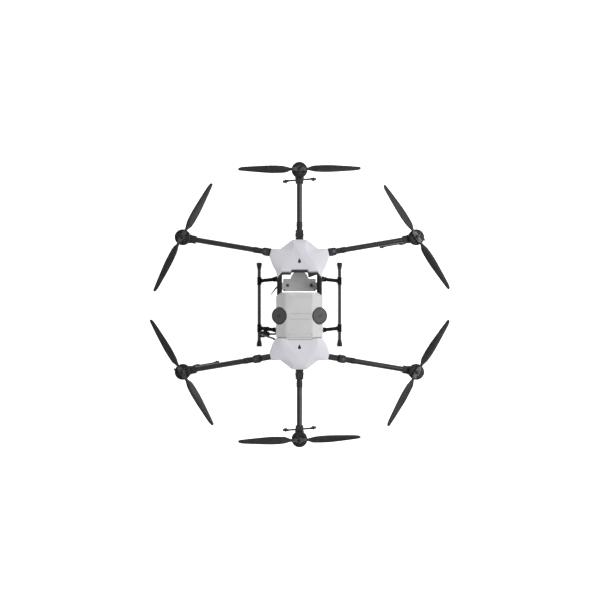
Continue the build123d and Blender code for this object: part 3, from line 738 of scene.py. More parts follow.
# %% The ring tree and the row tree
def chamfered_block(tree, size):
    """A block whose upper end is smaller than its base, as a moulded rib is."""
    cube = add(tree, "GeometryNodeMeshCube", {"Size": size})
    where = add(tree, "GeometryNodeInputPosition")
    parts = add(tree, "ShaderNodeSeparateXYZ", {0: where.outputs[0]})
    upper = add(tree, "ShaderNodeMath", {0: parts.outputs["Z"], 1: 0.0}, operation="GREATER_THAN")
    taper = add(tree, "ShaderNodeMath", {0: upper.outputs[0], 1: -0.22, 2: 1.0}, operation="MULTIPLY_ADD")
    scale = add(tree, "ShaderNodeCombineXYZ", {"X": taper.outputs[0], "Y": taper.outputs[0], "Z": 1.0})
    moved = add(
        tree, "ShaderNodeVectorMath", {0: where.outputs[0], 1: scale.outputs[0]}, operation="MULTIPLY",
    )
    return add(tree, "GeometryNodeSetPosition", {"Geometry": cube.outputs[0], "Position": moved.outputs[0]})


def build_ring():
    """Blocks round the z axis. Each block's own z points outwards, and its y runs up the axis."""
    inputs = {
        "Count": ("Int", 12), "Radius": ("Float", 0.02), "Height": ("Float", 0.0),
        "Block size": ("Vector", (0.002, 0.01, 0.001)),
    }
    tree, given, result = geometry_tree("Blocks round a circle", inputs)
    circle = add(tree, "GeometryNodeMeshCircle", {"Vertices": given["Count"], "Radius": given["Radius"]})
    lift = add(tree, "ShaderNodeCombineXYZ", {"Z": given["Height"]})
    raised = add(tree, "GeometryNodeSetPosition", {"Geometry": circle.outputs[0], "Offset": lift.outputs[0]})
    where = add(tree, "GeometryNodeInputPosition")
    flat = add(
        tree, "ShaderNodeVectorMath", {0: where.outputs[0], 1: (1.0, 1.0, 0.0)}, operation="MULTIPLY",
    )
    outwards = add(tree, "FunctionNodeAlignRotationToVector", {"Vector": flat.outputs[0]}, axis="Z")
    upright = add(
        tree, "FunctionNodeAlignRotationToVector",
        {"Rotation": outwards.outputs[0], "Vector": (0.0, 0.0, 1.0)}, axis="Y", pivot_axis="Z",
    )
    block = chamfered_block(tree, given["Block size"])
    placed = add(
        tree, "GeometryNodeInstanceOnPoints",
        {"Points": raised.outputs[0], "Instance": block.outputs[0], "Rotation": upright.outputs[0]},
    )
    return finish_tree(tree, placed.outputs[0], given, result)


def build_row():
    """Blocks in a row along x, standing up in z."""
    inputs = {
        "Count": ("Int", 8), "Pitch": ("Float", 0.008), "Block size": ("Vector", (0.004, 0.04, 0.006)),
    }
    tree, given, result = geometry_tree("Blocks in a row", inputs)
    step = add(tree, "ShaderNodeCombineXYZ", {"X": given["Pitch"]})
    line = add(tree, "GeometryNodeMeshLine", {"Count": given["Count"], "Offset": step.outputs[0]})
    block = chamfered_block(tree, given["Block size"])
    placed = add(
        tree, "GeometryNodeInstanceOnPoints", {"Points": line.outputs[0], "Instance": block.outputs[0]},
    )
    return finish_tree(tree, placed.outputs[0], given, result)


ring_tree = build_ring()
row_tree = build_row()


def ring_of(name, body, material, place, slot=None, **values):
    """Blocks round the z axis of `place`, as a finished piece."""
    mesh = grow(ring_tree, material, **values)
    mesh.transform(place)
    return settle(mesh, name, body, None)


def row_of(name, body, material, place, slot=None, **values):
    """Blocks along the x axis of `place`, as a finished piece."""
    mesh = grow(row_tree, material, **values)
    mesh.transform(place)
    return settle(mesh, name, body, None)


print("trees:", [t.name for t in bpy.data.node_groups if t.bl_idname == "GeometryNodeTree"])

# %% [markdown]
# ### A propeller blade by rule
# A blade is a wing section that changes along its span. A flat grid becomes the blade: one
# direction of the grid goes round the section, the other goes from root to tip. Four curves give
# the front edge, the rear edge, the thickness and the pitch at each distance, and the inputs
# scale them. The grid's seam is welded, and both ends close to a point.


# %% The blade tree
def profile_curve(tree, share, points, strength):
    """A Float Curve through points of (share of the span, share of the strength), times an input."""
    node = add(tree, "ShaderNodeFloatCurve", {"Value": share})
    curve = node.mapping.curves[0]
    curve.points[0].location = points[0]
    curve.points[1].location = points[-1]
    for x, y in points[1:-1]:
        curve.points.new(x, y)
    node.mapping.update()
    return add(tree, "ShaderNodeMath", {0: node.outputs[0], 1: strength}, operation="MULTIPLY").outputs[0]


def build_blade():
    """A twisted blade along +x, with its leading edge on +y and its root on the axis of its bolt."""
    inputs = {
        "Root radius": ("Float", 0.045), "Tip radius": ("Float", 0.3742), "Leading width": ("Float", 0.023),
        "Trailing width": ("Float", 0.0245), "Thickness": ("Float", 0.0096), "Pitch": ("Float", radians(17)),
        "Camber": ("Float", 0.35),
    }
    tree, given, result = geometry_tree("Propeller blade", inputs)
    around, along = 33, 65
    grid = add(
        tree, "GeometryNodeMeshGrid",
        {"Size X": 1.0, "Size Y": 1.0, "Vertices X": along, "Vertices Y": around},
    )
    parts = add(tree, "ShaderNodeSeparateXYZ", {0: add(tree, "GeometryNodeInputPosition").outputs[0]})
    share = sums(tree, "ADD", parts.outputs["X"], 0.5)
    angle = sums(tree, "MULTIPLY", sums(tree, "ADD", parts.outputs["Y"], 0.5), 2 * pi)
    across, up = sums(tree, "COSINE", angle), sums(tree, "SINE", angle)
    leading = profile_curve(tree, share, [
        (0, 0), (0.004, 0.34), (0.03, 0.39), (0.1, 0.65), (0.152, 0.83), (0.23, 0.94), (0.318, 1.0),
        (0.44, 0.98), (0.68, 0.83), (0.8, 0.74), (0.909, 0.63), (0.965, 0.47), (0.993, 0.26), (1, 0),
    ], given["Leading width"])
    trailing = profile_curve(tree, share, [
        (0, 0), (0.004, 0.33), (0.03, 0.4), (0.1, 0.78), (0.152, 0.92), (0.23, 0.98), (0.318, 1.0),
        (0.44, 0.96), (0.56, 0.84), (0.68, 0.71), (0.8, 0.57), (0.909, 0.42), (0.965, 0.34),
        (0.993, 0.2), (1, 0),
    ], given["Trailing width"])
    thickness = profile_curve(tree, share, [
        (0, 0), (0.004, 0.96), (0.12, 0.86), (0.25, 0.68), (0.45, 0.5), (0.8, 0.32), (0.985, 0.22), (1, 0),
    ], given["Thickness"])
    pitch = profile_curve(tree, share, [
        (0, 0), (0.02, 0.05), (0.12, 0.72), (0.22, 1.0), (0.4, 0.86), (0.7, 0.62), (1, 0.42),
    ], given["Pitch"])
    half = sums(tree, "MULTIPLY", sums(tree, "ADD", leading, trailing), 0.5)
    middle = sums(tree, "MULTIPLY", sums(tree, "SUBTRACT", leading, trailing), 0.5)
    chordwise = sums(tree, "MULTIPLY_ADD", across, half, middle)
    # the section is fuller towards its leading edge, and arched by the camber
    fullness = sums(tree, "MULTIPLY_ADD", across, 0.28, 0.82)
    half_thick = sums(tree, "MULTIPLY", thickness, 0.5)
    skin = sums(tree, "MULTIPLY", sums(tree, "MULTIPLY", up, fullness), half_thick)
    arch = sums(tree, "SUBTRACT", 1.0, sums(tree, "MULTIPLY", across, across))
    lift = sums(tree, "MULTIPLY", sums(tree, "MULTIPLY", arch, thickness), given["Camber"])
    flat_root = sums(tree, "MULTIPLY", lift, fade_in(tree, share))
    height = sums(tree, "ADD", skin, flat_root)
    turn_cos, turn_sin = sums(tree, "COSINE", pitch), sums(tree, "SINE", pitch)
    forwards, sideways = sums(tree, "MULTIPLY", chordwise, turn_cos), sums(tree, "MULTIPLY", height, turn_sin)
    y = sums(tree, "SUBTRACT", forwards, sideways)
    climb, upright = sums(tree, "MULTIPLY", chordwise, turn_sin), sums(tree, "MULTIPLY", height, turn_cos)
    z = sums(tree, "ADD", climb, upright)
    span = sums(tree, "SUBTRACT", given["Tip radius"], given["Root radius"])
    x = sums(tree, "MULTIPLY_ADD", share, span, given["Root radius"])
    spot = add(tree, "ShaderNodeCombineXYZ", {"X": x, "Y": y, "Z": z})
    shaped = add(tree, "GeometryNodeSetPosition", {"Geometry": grid.outputs[0], "Position": spot.outputs[0]})
    welded = add(tree, "GeometryNodeMergeByDistance", {"Geometry": shaped.outputs[0], "Distance": 0.00002})
    return finish_tree(tree, welded.outputs[0], given, result)


def fade_in(tree, share):
    """Lets the camber start past the flat root."""
    ramp = add(
        tree, "ShaderNodeMapRange", {"Value": share, "From Min": 0.05, "From Max": 0.2},
        interpolation_type="SMOOTHSTEP",
    )
    return ramp.outputs["Result"]


blade_tree = build_blade()

# %% [markdown]
# ## Arms
# An arm is a carbon tube between two castings. At the root is the knuckle that turns in a fork
# on the hub, then comes the ring that locks the fold. At the tip a split clamp carries the motor
# pad, with the speed controller in a finned case below it. Side arms fold about an upright pin,
# and the front and rear arms fold down about a level pin.

# %% Arm sizes
axis_z = joints["lock_front"]["pos_m"][2]
tube_r, tube_wall = 17 * MM, 1.5 * MM
clamp_end = 45 * MM
pad_low, pad_top = -16 * MM, 14 * MM
level_pin_z = -22  # the front and rear arms' pin, below the tube's axis


def axis_place(place, x):
    """The frame of `place`, moved x along and turned so that z runs along its x axis."""
    turn = Matrix(((0, 0, 1), (0, 1, 0), (-1, 0, 0))).to_4x4()
    return place @ Matrix.Translation((x, 0, 0)) @ turn


def mm(points):
    """Turns a list of points from millimetres into metres."""
    return [tuple(value * MM for value in point) for point in points]


def at_mm(x, y, z):
    """One point, given in millimetres."""
    return (x * MM, y * MM, z * MM)


def slab(bm, outline, low, high, place=Matrix()):
    """An outline pushed from one height to another, all in millimetres."""
    return extrude_outline(bm, mm(outline), low * MM, high * MM, place)


# Turns that lay an outline in another plane: a section pushed along x, a side view pushed
# along y, a section pushed towards the front, and a spin's axis turned towards the front
lengthwise = Matrix(((0, 0, 1), (1, 0, 0), (0, 1, 0))).to_4x4()
on_edge = Matrix(((1, 0, 0), (0, 0, -1), (0, 1, 0))).to_4x4()
crosswise = Matrix(((1, 0, 0), (0, 0, 1), (0, 1, 0))).to_4x4()
to_front = Matrix.Rotation(-pi / 2, 4, "X")


# %% Tubes
def make_tube(arm):
    """The hollow carbon tube."""
    bm = bmesh.new()
    length = reach[arm] - 60 * MM
    wall = [(tube_r, 0), (tube_r, length), (tube_r - tube_wall, length), (tube_r - tube_wall, 0)]
    spin(bm, wall, axis_place(arm_frame[arm], 12 * MM), 64, ring=True)
    piece = finish_piece(bm, "tube_" + arm, "arm_" + arm, carbon_tube_skin)
    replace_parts(piece, "arm_tube_" + arm)


for arm in arms:
    make_tube(arm)

# %% [markdown]
# ### Knuckles
# The side knuckle is a turned boss with a sleeve, joined by webs. The front and rear knuckle is
# a thick side-view outline pushed through its width. Both are moulded in filled nylon, and the front
# and rear knuckle has every edge rounded.


# %% Knuckles
def side_knuckle(bm, place):
    """A boss on the upright pin, and a sleeve over the tube."""
    bore, outer, half = 6.2, 21.5, 18.5
    boss = [
        (bore, -half), (outer - 1.5, -half), (outer, -half + 1.5), (outer, -half + 6),
        (outer - 1.2, -half + 7), (outer - 1.2, half - 7), (outer, half - 6), (outer, half - 1.5),
        (outer - 1.5, half), (bore, half),
    ]
    spin(bm, mm(boss), place, 56, ring=True)
    sleeve = [
        (16, 0), (18.3, 0), (18.3, 7), (17.6, 8), (17.6, 16), (18.4, 17), (18.4, 25), (17.4, 26), (16, 26),
    ]
    spin(bm, mm(sleeve), axis_place(place, 8 * MM), 56, ring=True)
    for y in (-13, -5, 5, 13):
        brick(bm, at_mm(10, y - 1.5, -16), at_mm(33, y + 1.5, 16), place)


def fore_knuckle(bm, place):
    """A block with a round eye below, and a sleeve over the tube."""
    side_view = arc(0, level_pin_z, 20, 180, 345, 18) + [(28, -12), (28, 13)] + arc(22, 13, 6, 0, 90, 4)
    side_view += arc(-14, 13, 6, 90, 180, 4)
    # the outline is in x and z, so the frame is tipped to push it along y
    tipped = place @ on_edge
    slab(bm, side_view, -18, 18, tipped)
    soften(bm, 1.4 * MM)
    pocket = mm([(-12, -14), (18, -8), (18, 6), (-12, 6)])
    for low, high in ((-18.5, -17.6), (17.6, 18.5)):
        extrude_outline(bm, pocket, low * MM, high * MM, tipped)
    sleeve = [
        (16.2, 0), (18.5, 0), (18.5, 12), (17.8, 13), (17.8, 18), (18.5, 19), (18.5, 21), (17, 22),
        (16.2, 22),
    ]
    spin(bm, mm(sleeve), axis_place(place, 20 * MM), 56, ring=True)


for arm in arms:
    bm = bmesh.new()
    if folds_down[arm]:
        fore_knuckle(bm, arm_frame[arm])
    else:
        side_knuckle(bm, arm_frame[arm])
    piece = finish_piece(bm, "knuckle_" + arm, "arm_" + arm, nylon)
    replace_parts(piece, "arm_fittings_" + arm)
    for side in (-1, 1):
        out = 33 if folds_down[arm] else 29
        screw("arm_" + arm, at_mm(out, 0, side * 18), (0, 0, side), 1.0, arm_frame[arm])
print("tubes and knuckles:", len(made))

# %% [markdown]
# ### Forks and pins
# Each arm turns in a fork bolted between the hub's carbon plates. The fork's stem slides under
# the white cover. The pin has a broad head on one side and a nut on the other.


# %% Forks
def side_fork(bm, place, stem_length, stem_half):
    """Two round plates on a boxed stem."""
    outline = rounded_box_outline(-stem_half, stem_half, -23, 23, 5)
    along = place @ lengthwise
    slab(bm, outline, -stem_length, -27, along)
    plate = arc(0, 0, 24, -90, 90, 24) + [(-30, 24), (-36, stem_half), (-36, -stem_half), (-30, -24)]
    for low in (-23, 19):
        slab(bm, plate, low, low + 4, place)
    soften(bm, 0.9 * MM)
    for low in (-23.4, 22.6):
        rib = [(-30, -3), (-8, -3), (-8, 3), (-30, 3)]
        slab(bm, rib, low, low + 0.8, place)


def fore_fork(bm, place):
    """Two cheeks on a boxed stem, each with an eye for the level pin."""
    outline = rounded_box_outline(-24.5, 24.5, -23, 23, 4)
    along = place @ lengthwise
    slab(bm, outline, -92, -21, along)
    cheek = arc(0, level_pin_z, 18, 180, 330, 18) + [(28, -12), (28, 17)] + arc(22, 17, 6, 0, 90, 4)
    cheek += [(-29, 23), (-29, -22.6), (-18.5, -22.6)]
    tipped = place @ on_edge
    for low in (-24.5, 18.5):
        slab(bm, cheek, low, low + 6, tipped)
    soften(bm, 1.2 * MM)


def pin(bm, place, half, radius, head):
    """A pin with a chamfered head at each end."""
    shape = [
        (0, -half), (head - 1, -half), (head, -half + 0.8), (head, -half + 1.6), (radius, -half + 1.6),
        (radius, half - 1.6), (head, half - 1.6), (head, half - 0.8), (head - 1, half), (0, half),
    ]
    spin(bm, mm(shape), place, 28)


for arm in arms:
    bm, steel_bm = bmesh.new(), bmesh.new()
    place = arm_frame[arm]
    if folds_down[arm]:
        fore_fork(bm, place)
        tipped = place @ Matrix.Translation(at_mm(0, 0, level_pin_z)) @ on_edge
        pin(steel_bm, tipped, 26.5, 5, 8)
        for x in (-50, -76):
            for side in (-1, 1):
                screw("frame", at_mm(x, side * 13, -23), (0, 0, -1), 1.1, place)
    else:
        front = arm.startswith("front")
        side_fork(bm, place, 92 if front else 152, 24 if front else 18)
        pin(steel_bm, place, 24.4, 6, 9.5)
        for angle in (35, 90, 145, 215, 270, 325):
            spot = (17 * MM * cos(radians(angle)), 17 * MM * sin(radians(angle)), 23 * MM)
            screw("frame", spot, (0, 0, 1), 0.8, place)
            screw("frame", (spot[0], spot[1], -spot[2]), (0, 0, -1), 0.8, place)
    piece = finish_piece(bm, "fork_" + arm, "frame", nylon)
    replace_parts(piece, "arm_sockets")
    finish_piece(steel_bm, "hinge_pin_" + arm, "frame", steel)

# %% [markdown]
# ### The ring that locks the fold
# A ring turns on the tube and slides a bolt into the fork. Its grip is a band of small ridges,
# which the ring tree spreads round it, and a raised tab shows which way it is turned.


# %% Lock rings
for arm in arms:
    start = 44 if folds_down[arm] else 37
    place = axis_place(arm_frame[arm], start * MM)
    bm = bmesh.new()
    shape = [
        (17.1, 0), (18.2, 0), (19, 0.8), (19, 5), (18.2, 6), (18.2, 27), (19, 28), (19, 33), (18, 36),
        (17.1, 36),
    ]
    spin(bm, mm(shape), place, 56, ring=True)
    brick(bm, at_mm(-20.2, -3.5, 9), at_mm(-17.4, 3.5, 25), place)
    piece = finish_piece(bm, "ring_" + arm, "lock_ring_" + arm, nylon)
    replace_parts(piece, "lock_ring_" + arm)
    ring_of(
        "ring_grip_" + arm, "lock_ring_" + arm, nylon, place, "mount_plastic",
        Count=28, Radius=18.45 * MM, Height=16.5 * MM, Block_size=(0.0022, 0.02, 0.0011),
    )
print("forks and rings done,", len(made), "pieces")

# %% [markdown]
# ### Motor clamp and pad
# The clamp is two halves drawn together on the tube by four screws, so there is a fine gap
# between them. The pad widens from the clamp to a disc under the motor.


# %% Clamps, pads and controllers
def make_clamp(arm):
    """The split clamp and the motor pad, in arm-local millimetres."""
    place, r = arm_frame[arm], reach[arm] / MM
    bm = bmesh.new()
    along = place @ lengthwise
    for side in (-1, 1):
        bore = arc(0, 0, 17.05, 2, 178, 20)
        shell = [(24.5, 0.6)] + arc(16.5, 14, 8, 0, 90, 5) + arc(-16.5, 14, 8, 90, 180, 5) + [(-24.5, 0.6)]
        outline = [(x, side * y) for x, y in shell + list(reversed(bore))]
        if side == -1:
            outline.reverse()
        slab(bm, outline, r - 78, r - 45, along)
    soften(bm, 0.8 * MM)
    disc = arc(r, 0, 38, -80, 80, 30)
    pad = [(r - 46, -27), (r - 30, -28), (r - 12, -33)] + disc + [(r - 12, 33), (r - 30, 28), (r - 46, 27)]
    rim = bmesh.new()
    extrude_outline(rim, mm(pad), 8 * MM, pad_top, place)
    waist = [(r + (x - r) * 0.93, y * 0.93) for x, y in pad]
    slab(rim, waist, -10, 9, place)
    extrude_outline(rim, mm(pad), pad_low, -9 * MM, place)
    soften(rim, 0.9 * MM)
    merged = bpy.data.meshes.new("pad")
    rim.to_mesh(merged)
    rim.free()
    bm.from_mesh(merged)
    for angle in range(-60, 61, 30):
        x, y = r + 36.5 * cos(radians(angle)), 36.5 * sin(radians(angle))
        web = place @ Matrix.Translation(at_mm(x, y, 0)) @ Matrix.Rotation(radians(angle), 4, "Z")
        brick(bm, (-0.0045, -0.0012, -0.0095), (0.001, 0.0012, 0.0085), web)
    finish_piece(bm, "motor_clamp_" + arm, "arm_" + arm, nylon)
    for x in (r - 70, r - 53):
        for y in (-20.5, 20.5):
            screw("arm_" + arm, at_mm(x, y, 19.5), (0, 0, 1), 0.9, place)
            screw("arm_" + arm, at_mm(x, y, -19.5), (0, 0, -1), 0.9, place)
    for angle in (30, 150, 210, 330):
        spot = (reach[arm] + 34 * MM * cos(radians(angle)), 34 * MM * sin(radians(angle)), pad_top)
        screw("arm_" + arm, spot, (0, 0, 1), 0.8, place)


def make_controller(arm):
    """The speed controller's case, with a lamp at its outer end."""
    place, r = arm_frame[arm], reach[arm] / MM
    bm = bmesh.new()
    outline = rounded_box_outline(r - 34, r + 27, -24, 24, 4)
    slab(bm, outline, -28, -16, place)
    soften(bm, 0.8 * MM)
    lamp_out = 27 if folds_down[arm] else 55
    brick(bm, at_mm(r + 20, -9, -27), at_mm(r + lamp_out + 1.5, 9, -17), place)
    finish_piece(bm, "controller_" + arm, "arm_" + arm, anodised)
    fins = place @ Matrix.Translation(at_mm(r - 30, 0, -30.8)) @ Matrix.Rotation(pi, 4, "X")
    row_of(
        "controller_fins_" + arm, "arm_" + arm, anodised, fins, "motor_alloy",
        Count=8, Pitch=7.3 * MM, Block_size=(0.0032, 0.044, 0.0064),
    )
    lens = bmesh.new()
    curve = [(7 * cos(radians(a)), 3 * sin(radians(a))) for a in range(75, -1, -15)]
    dome = [(0, 3)] + curve + [(7, -2), (0, -2)]
    squashed = Matrix.Translation(at_mm(22, 0, 0)) @ Matrix.Diagonal((0.6, 1, 1, 1))
    tall = axis_place(place, (r + lamp_out) * MM) @ squashed
    spin(lens, [(a * MM, h * MM) for a, h in reversed(dome)], tall, 24)
    ahead = arm.startswith("front")
    finish_piece(lens, "lamp_" + arm, "arm_" + arm, lamp_red if ahead else lamp_green)


for arm in arms:
    make_clamp(arm)
    make_controller(arm)
print(len(made), "pieces")

# %% [markdown]
# ## Motors
# An outrunner motor has its windings fixed in the middle and a bell that turns round them. The
# stator is a foot, a laminated core and coils of copper; the bell is a turned ring with magnets
# inside and spokes on top, so some copper shows between them.


# %% The motor's frame, the stator and its coils
def motor_frame(arm):
    """Origin on the motor's axis at the arm's height, with x along the arm."""
    return arm_frame[arm] @ Matrix.Translation((reach[arm], 0, 0))


bolt_out = 28  # from the motor's axis to each blade's bolt
blade_up = 73  # the blades' middle, above the arm's axis
# for each rotor: the way its first blade points, the angle to the second, and the way it spins
rotor_turn = {
    "front": (0.9, 179.3, -1), "rear": (2.8, 178.2, 1), "front_left": (60.5, 182.5, 1),
    "front_right": (122.3, 179.1, 1), "rear_left": (121.1, 179.5, -1), "rear_right": (58.7, 183.3, -1),
}


def rotor_frame(arm):
    """Origin on the motor's axis at the arm's height, with x along the first blade's bolt."""
    spot = Vector(joints["rotor_spin_" + arm]["pos_m"])
    turn = Matrix.Rotation(radians(rotor_turn[arm][0]), 4, "Z")
    return Matrix.Translation((spot.x, spot.y, axis_z)) @ turn


def make_stator(arm):
    """A stepped foot, the core and two rings of wound coils."""
    place, body = motor_frame(arm), "arm_" + arm
    bm = bmesh.new()
    foot = [
        (0, 13.5), (30, 13.5), (30, 16.5), (29, 17.5), (24, 18), (12, 18.6), (9.2, 20), (9.2, 22),
        (0, 22),
    ]
    spin(bm, mm(foot), place, 48)
    finish_piece(bm, "stator_foot_" + arm, body, anodised)
    bm = bmesh.new()
    core = [
        (9.2, 24), (26, 24), (26, 27), (37, 27), (37.6, 27.6), (37.6, 39.4), (37, 40), (26, 40),
        (26, 43), (9.2, 43),
    ]
    spin(bm, mm(core), place, 72, ring=True)
    finish_piece(bm, "stator_core_" + arm, body, core_steel)
    for height, tag in ((25.2, "low"), (41.8, "top")):
        ring_of(
            f"coils_{tag}_{arm}", body, copper, place, "motor_alloy",
            Count=24, Radius=30.5 * MM, Height=height * MM, Block_size=(0.0058, 0.0036, 0.0125),
        )
    for k in (-1, 0, 1):
        bm = bmesh.new()
        route = [(-20, 6 * k, 17), (-33, 7 * k, 12), (-42, 6 * k, -4), (-40, 5 * k, -20), (-30, 5 * k, -24)]
        path = [place @ Vector(p) for p in smooth_path(mm(route), 0.48, 5)]
        sweep_round(bm, path, 1.7 * MM, 10)
        finish_piece(bm, f"motor_wire_{k + 2}_{arm}", body, rubber)


for arm in arms:
    make_stator(arm)


# %% [markdown]
# ### Bell and propeller hub
# The bell's profile is turned, and the spokes are blocks from the ring tree. On top stands the
# hub: two plates that hold the blade roots between them, each blade on its own bolt, so the
# blades can fold.


# %% Bells and hubs
def slot_outline(half_span, radius):
    """A stadium: two half circles joined by straight sides."""
    return arc(half_span, 0, radius, -90, 90, 14) + arc(-half_span, 0, radius, 90, 270, 14)


def make_rotor(arm):
    """The bell with spokes, the column, the two plates, the bolts and the cap."""
    place, body = rotor_frame(arm), "rotor_" + arm
    bm = bmesh.new()
    bell = [
        (39.6, 22.6), (47.8, 22.6), (48.5, 23.4), (48.5, 26), (47.9, 26.7), (47.9, 42), (48.5, 42.8),
        (48.5, 46), (47.5, 48.9), (45.2, 51.2), (42, 52), (27, 52), (26, 51.2), (26, 48.8),
        (39.6, 47.6),
    ]
    spin(bm, mm(bell), place, 96, ring=True)
    hub = [(0, 44.5), (16, 44.5), (19.5, 47), (21, 49), (21, 51), (20, 52.2), (18, 52.6), (0, 52.6)]
    spin(bm, mm(hub), place, 64)
    piece = finish_piece(bm, "bell_" + arm, body, bell_skin)
    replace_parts(piece, "rotor_" + arm)
    ring_of(
        "bell_spokes_" + arm, body, anodised, place, "motor_alloy",
        Count=12, Radius=23.5 * MM, Height=49.8 * MM, Block_size=(0.0052, 0.0036, 0.0075),
    )
    ring_of(
        "bell_magnets_" + arm, body, core_steel, place, "motor_alloy",
        Count=28, Radius=39.2 * MM, Height=33 * MM, Block_size=(0.0076, 0.018, 0.0012),
    )
    bm = bmesh.new()
    column = [(0, 52), (18, 52), (18, 54), (13.5, 56), (13.5, 60.5), (18, 62), (18, 64.8), (0, 64.8)]
    spin(bm, mm(column), place, 48)
    for low in (64.7, 78.3):
        slab(bm, slot_outline(bolt_out, 13), low, low + 3, place)
    soften(bm, 0.5 * MM)
    cap = [(0, 67), (11.5, 67), (11.5, 81.3), (12, 81.6), (12, 82.6), (11, 83.3), (0, 83.3)]
    spin(bm, mm(cap), place, 40)
    finish_piece(bm, "propeller_hub_" + arm, body, anodised)
    bm = bmesh.new()
    for side in (-1, 1):
        at_bolt = place @ Matrix.Translation(at_mm(side * bolt_out, 0, 0))
        spin(bm, mm([(0, 65), (3.9, 65), (3.9, 81.2), (0, 81.2)]), at_bolt, 24)
        washer = [
            (0, 81), (8.4, 81), (8.4, 82.1), (7, 82.2), (7, 84.3), (6, 85.3), (3.4, 85.3), (3.2, 83),
            (0, 83),
        ]
        spin(bm, mm(washer), at_bolt, 24)
        under = [(0, 62.2), (4.4, 62.2), (5.4, 63), (5.4, 64.8), (0, 64.8)]
        spin(bm, mm(under), at_bolt, 6)
    finish_piece(bm, "hub_bolts_" + arm, body, steel)
    for angle in (45, 135, 225, 315):
        spot = (8 * MM * cos(radians(angle)), 8 * MM * sin(radians(angle)), 83.2 * MM)
        screw(body, spot, (0, 0, 1), 0.6, place)


for arm in arms:
    make_rotor(arm)
print("rotors done,", len(made), "pieces")

# %% [markdown]
# ### Blades
# All twelve blades are one shape. A rotor that spins the other way needs the mirror image, so
# the mesh is mirrored and its normals are turned out again. The root carries a boss for the
# bolt and a raised rib.


# %% Blades
def make_blade(arm, letter):
    """One blade with its eye and rib, in its place on the hub."""
    turn, between, way = rotor_turn[arm]
    mesh = grow(blade_tree, blade_skin)
    bm = bmesh.new()
    bm.from_mesh(mesh)
    bpy.data.meshes.remove(mesh)
    eye = [(4.05, -5), (11.4, -5), (12, -4.4), (12, 4.4), (11.4, 5), (7.5, 5), (7, 4.4), (4.05, 4.4)]
    spin(bm, mm(eye), Matrix.Translation(at_mm(bolt_out, 0, 0)), 40, ring=True)
    neck = rounded_box_outline(-8.6, 8.6, -4.8, 4.8, 3, 4)
    slab(bm, neck, 33, 58, lengthwise)
    rib = [(50, -1.6), (92, -0.7), (92, 0.7), (50, 1.6)]
    slab(bm, rib, 3.0, 5.0, Matrix.Rotation(radians(-1.2), 4, "Y"))
    flip = Matrix.Diagonal((1, way, 1, 1))
    lean = Matrix()
    if letter == "b":
        pivot = Matrix.Translation(at_mm(bolt_out, 0, 0))
        about_bolt = pivot @ Matrix.Rotation(radians(between - 180), 4, "Z") @ pivot.inverted()
        lean = Matrix.Rotation(pi, 4, "Z") @ about_bolt
    place = rotor_frame(arm) @ Matrix.Translation(at_mm(0, 0, blade_up)) @ lean @ flip
    bmesh.ops.transform(bm, matrix=place, verts=bm.verts)
    name = f"blade_{arm}_{letter}"
    piece = finish_piece(bm, "propeller_" + name, name, blade_skin)
    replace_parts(piece, name)


for arm in arms:
    for letter in "ab":
        make_blade(arm, letter)
print("blade faces:", len(made[-1].data.polygons))

# %% [markdown]
# ## Spray nozzles
# Below each motor hangs a bar with two nozzles. Each nozzle is a body with a drip-stop valve on
# its side, a winged quick-change cap in yellow-green, and a brass tip.


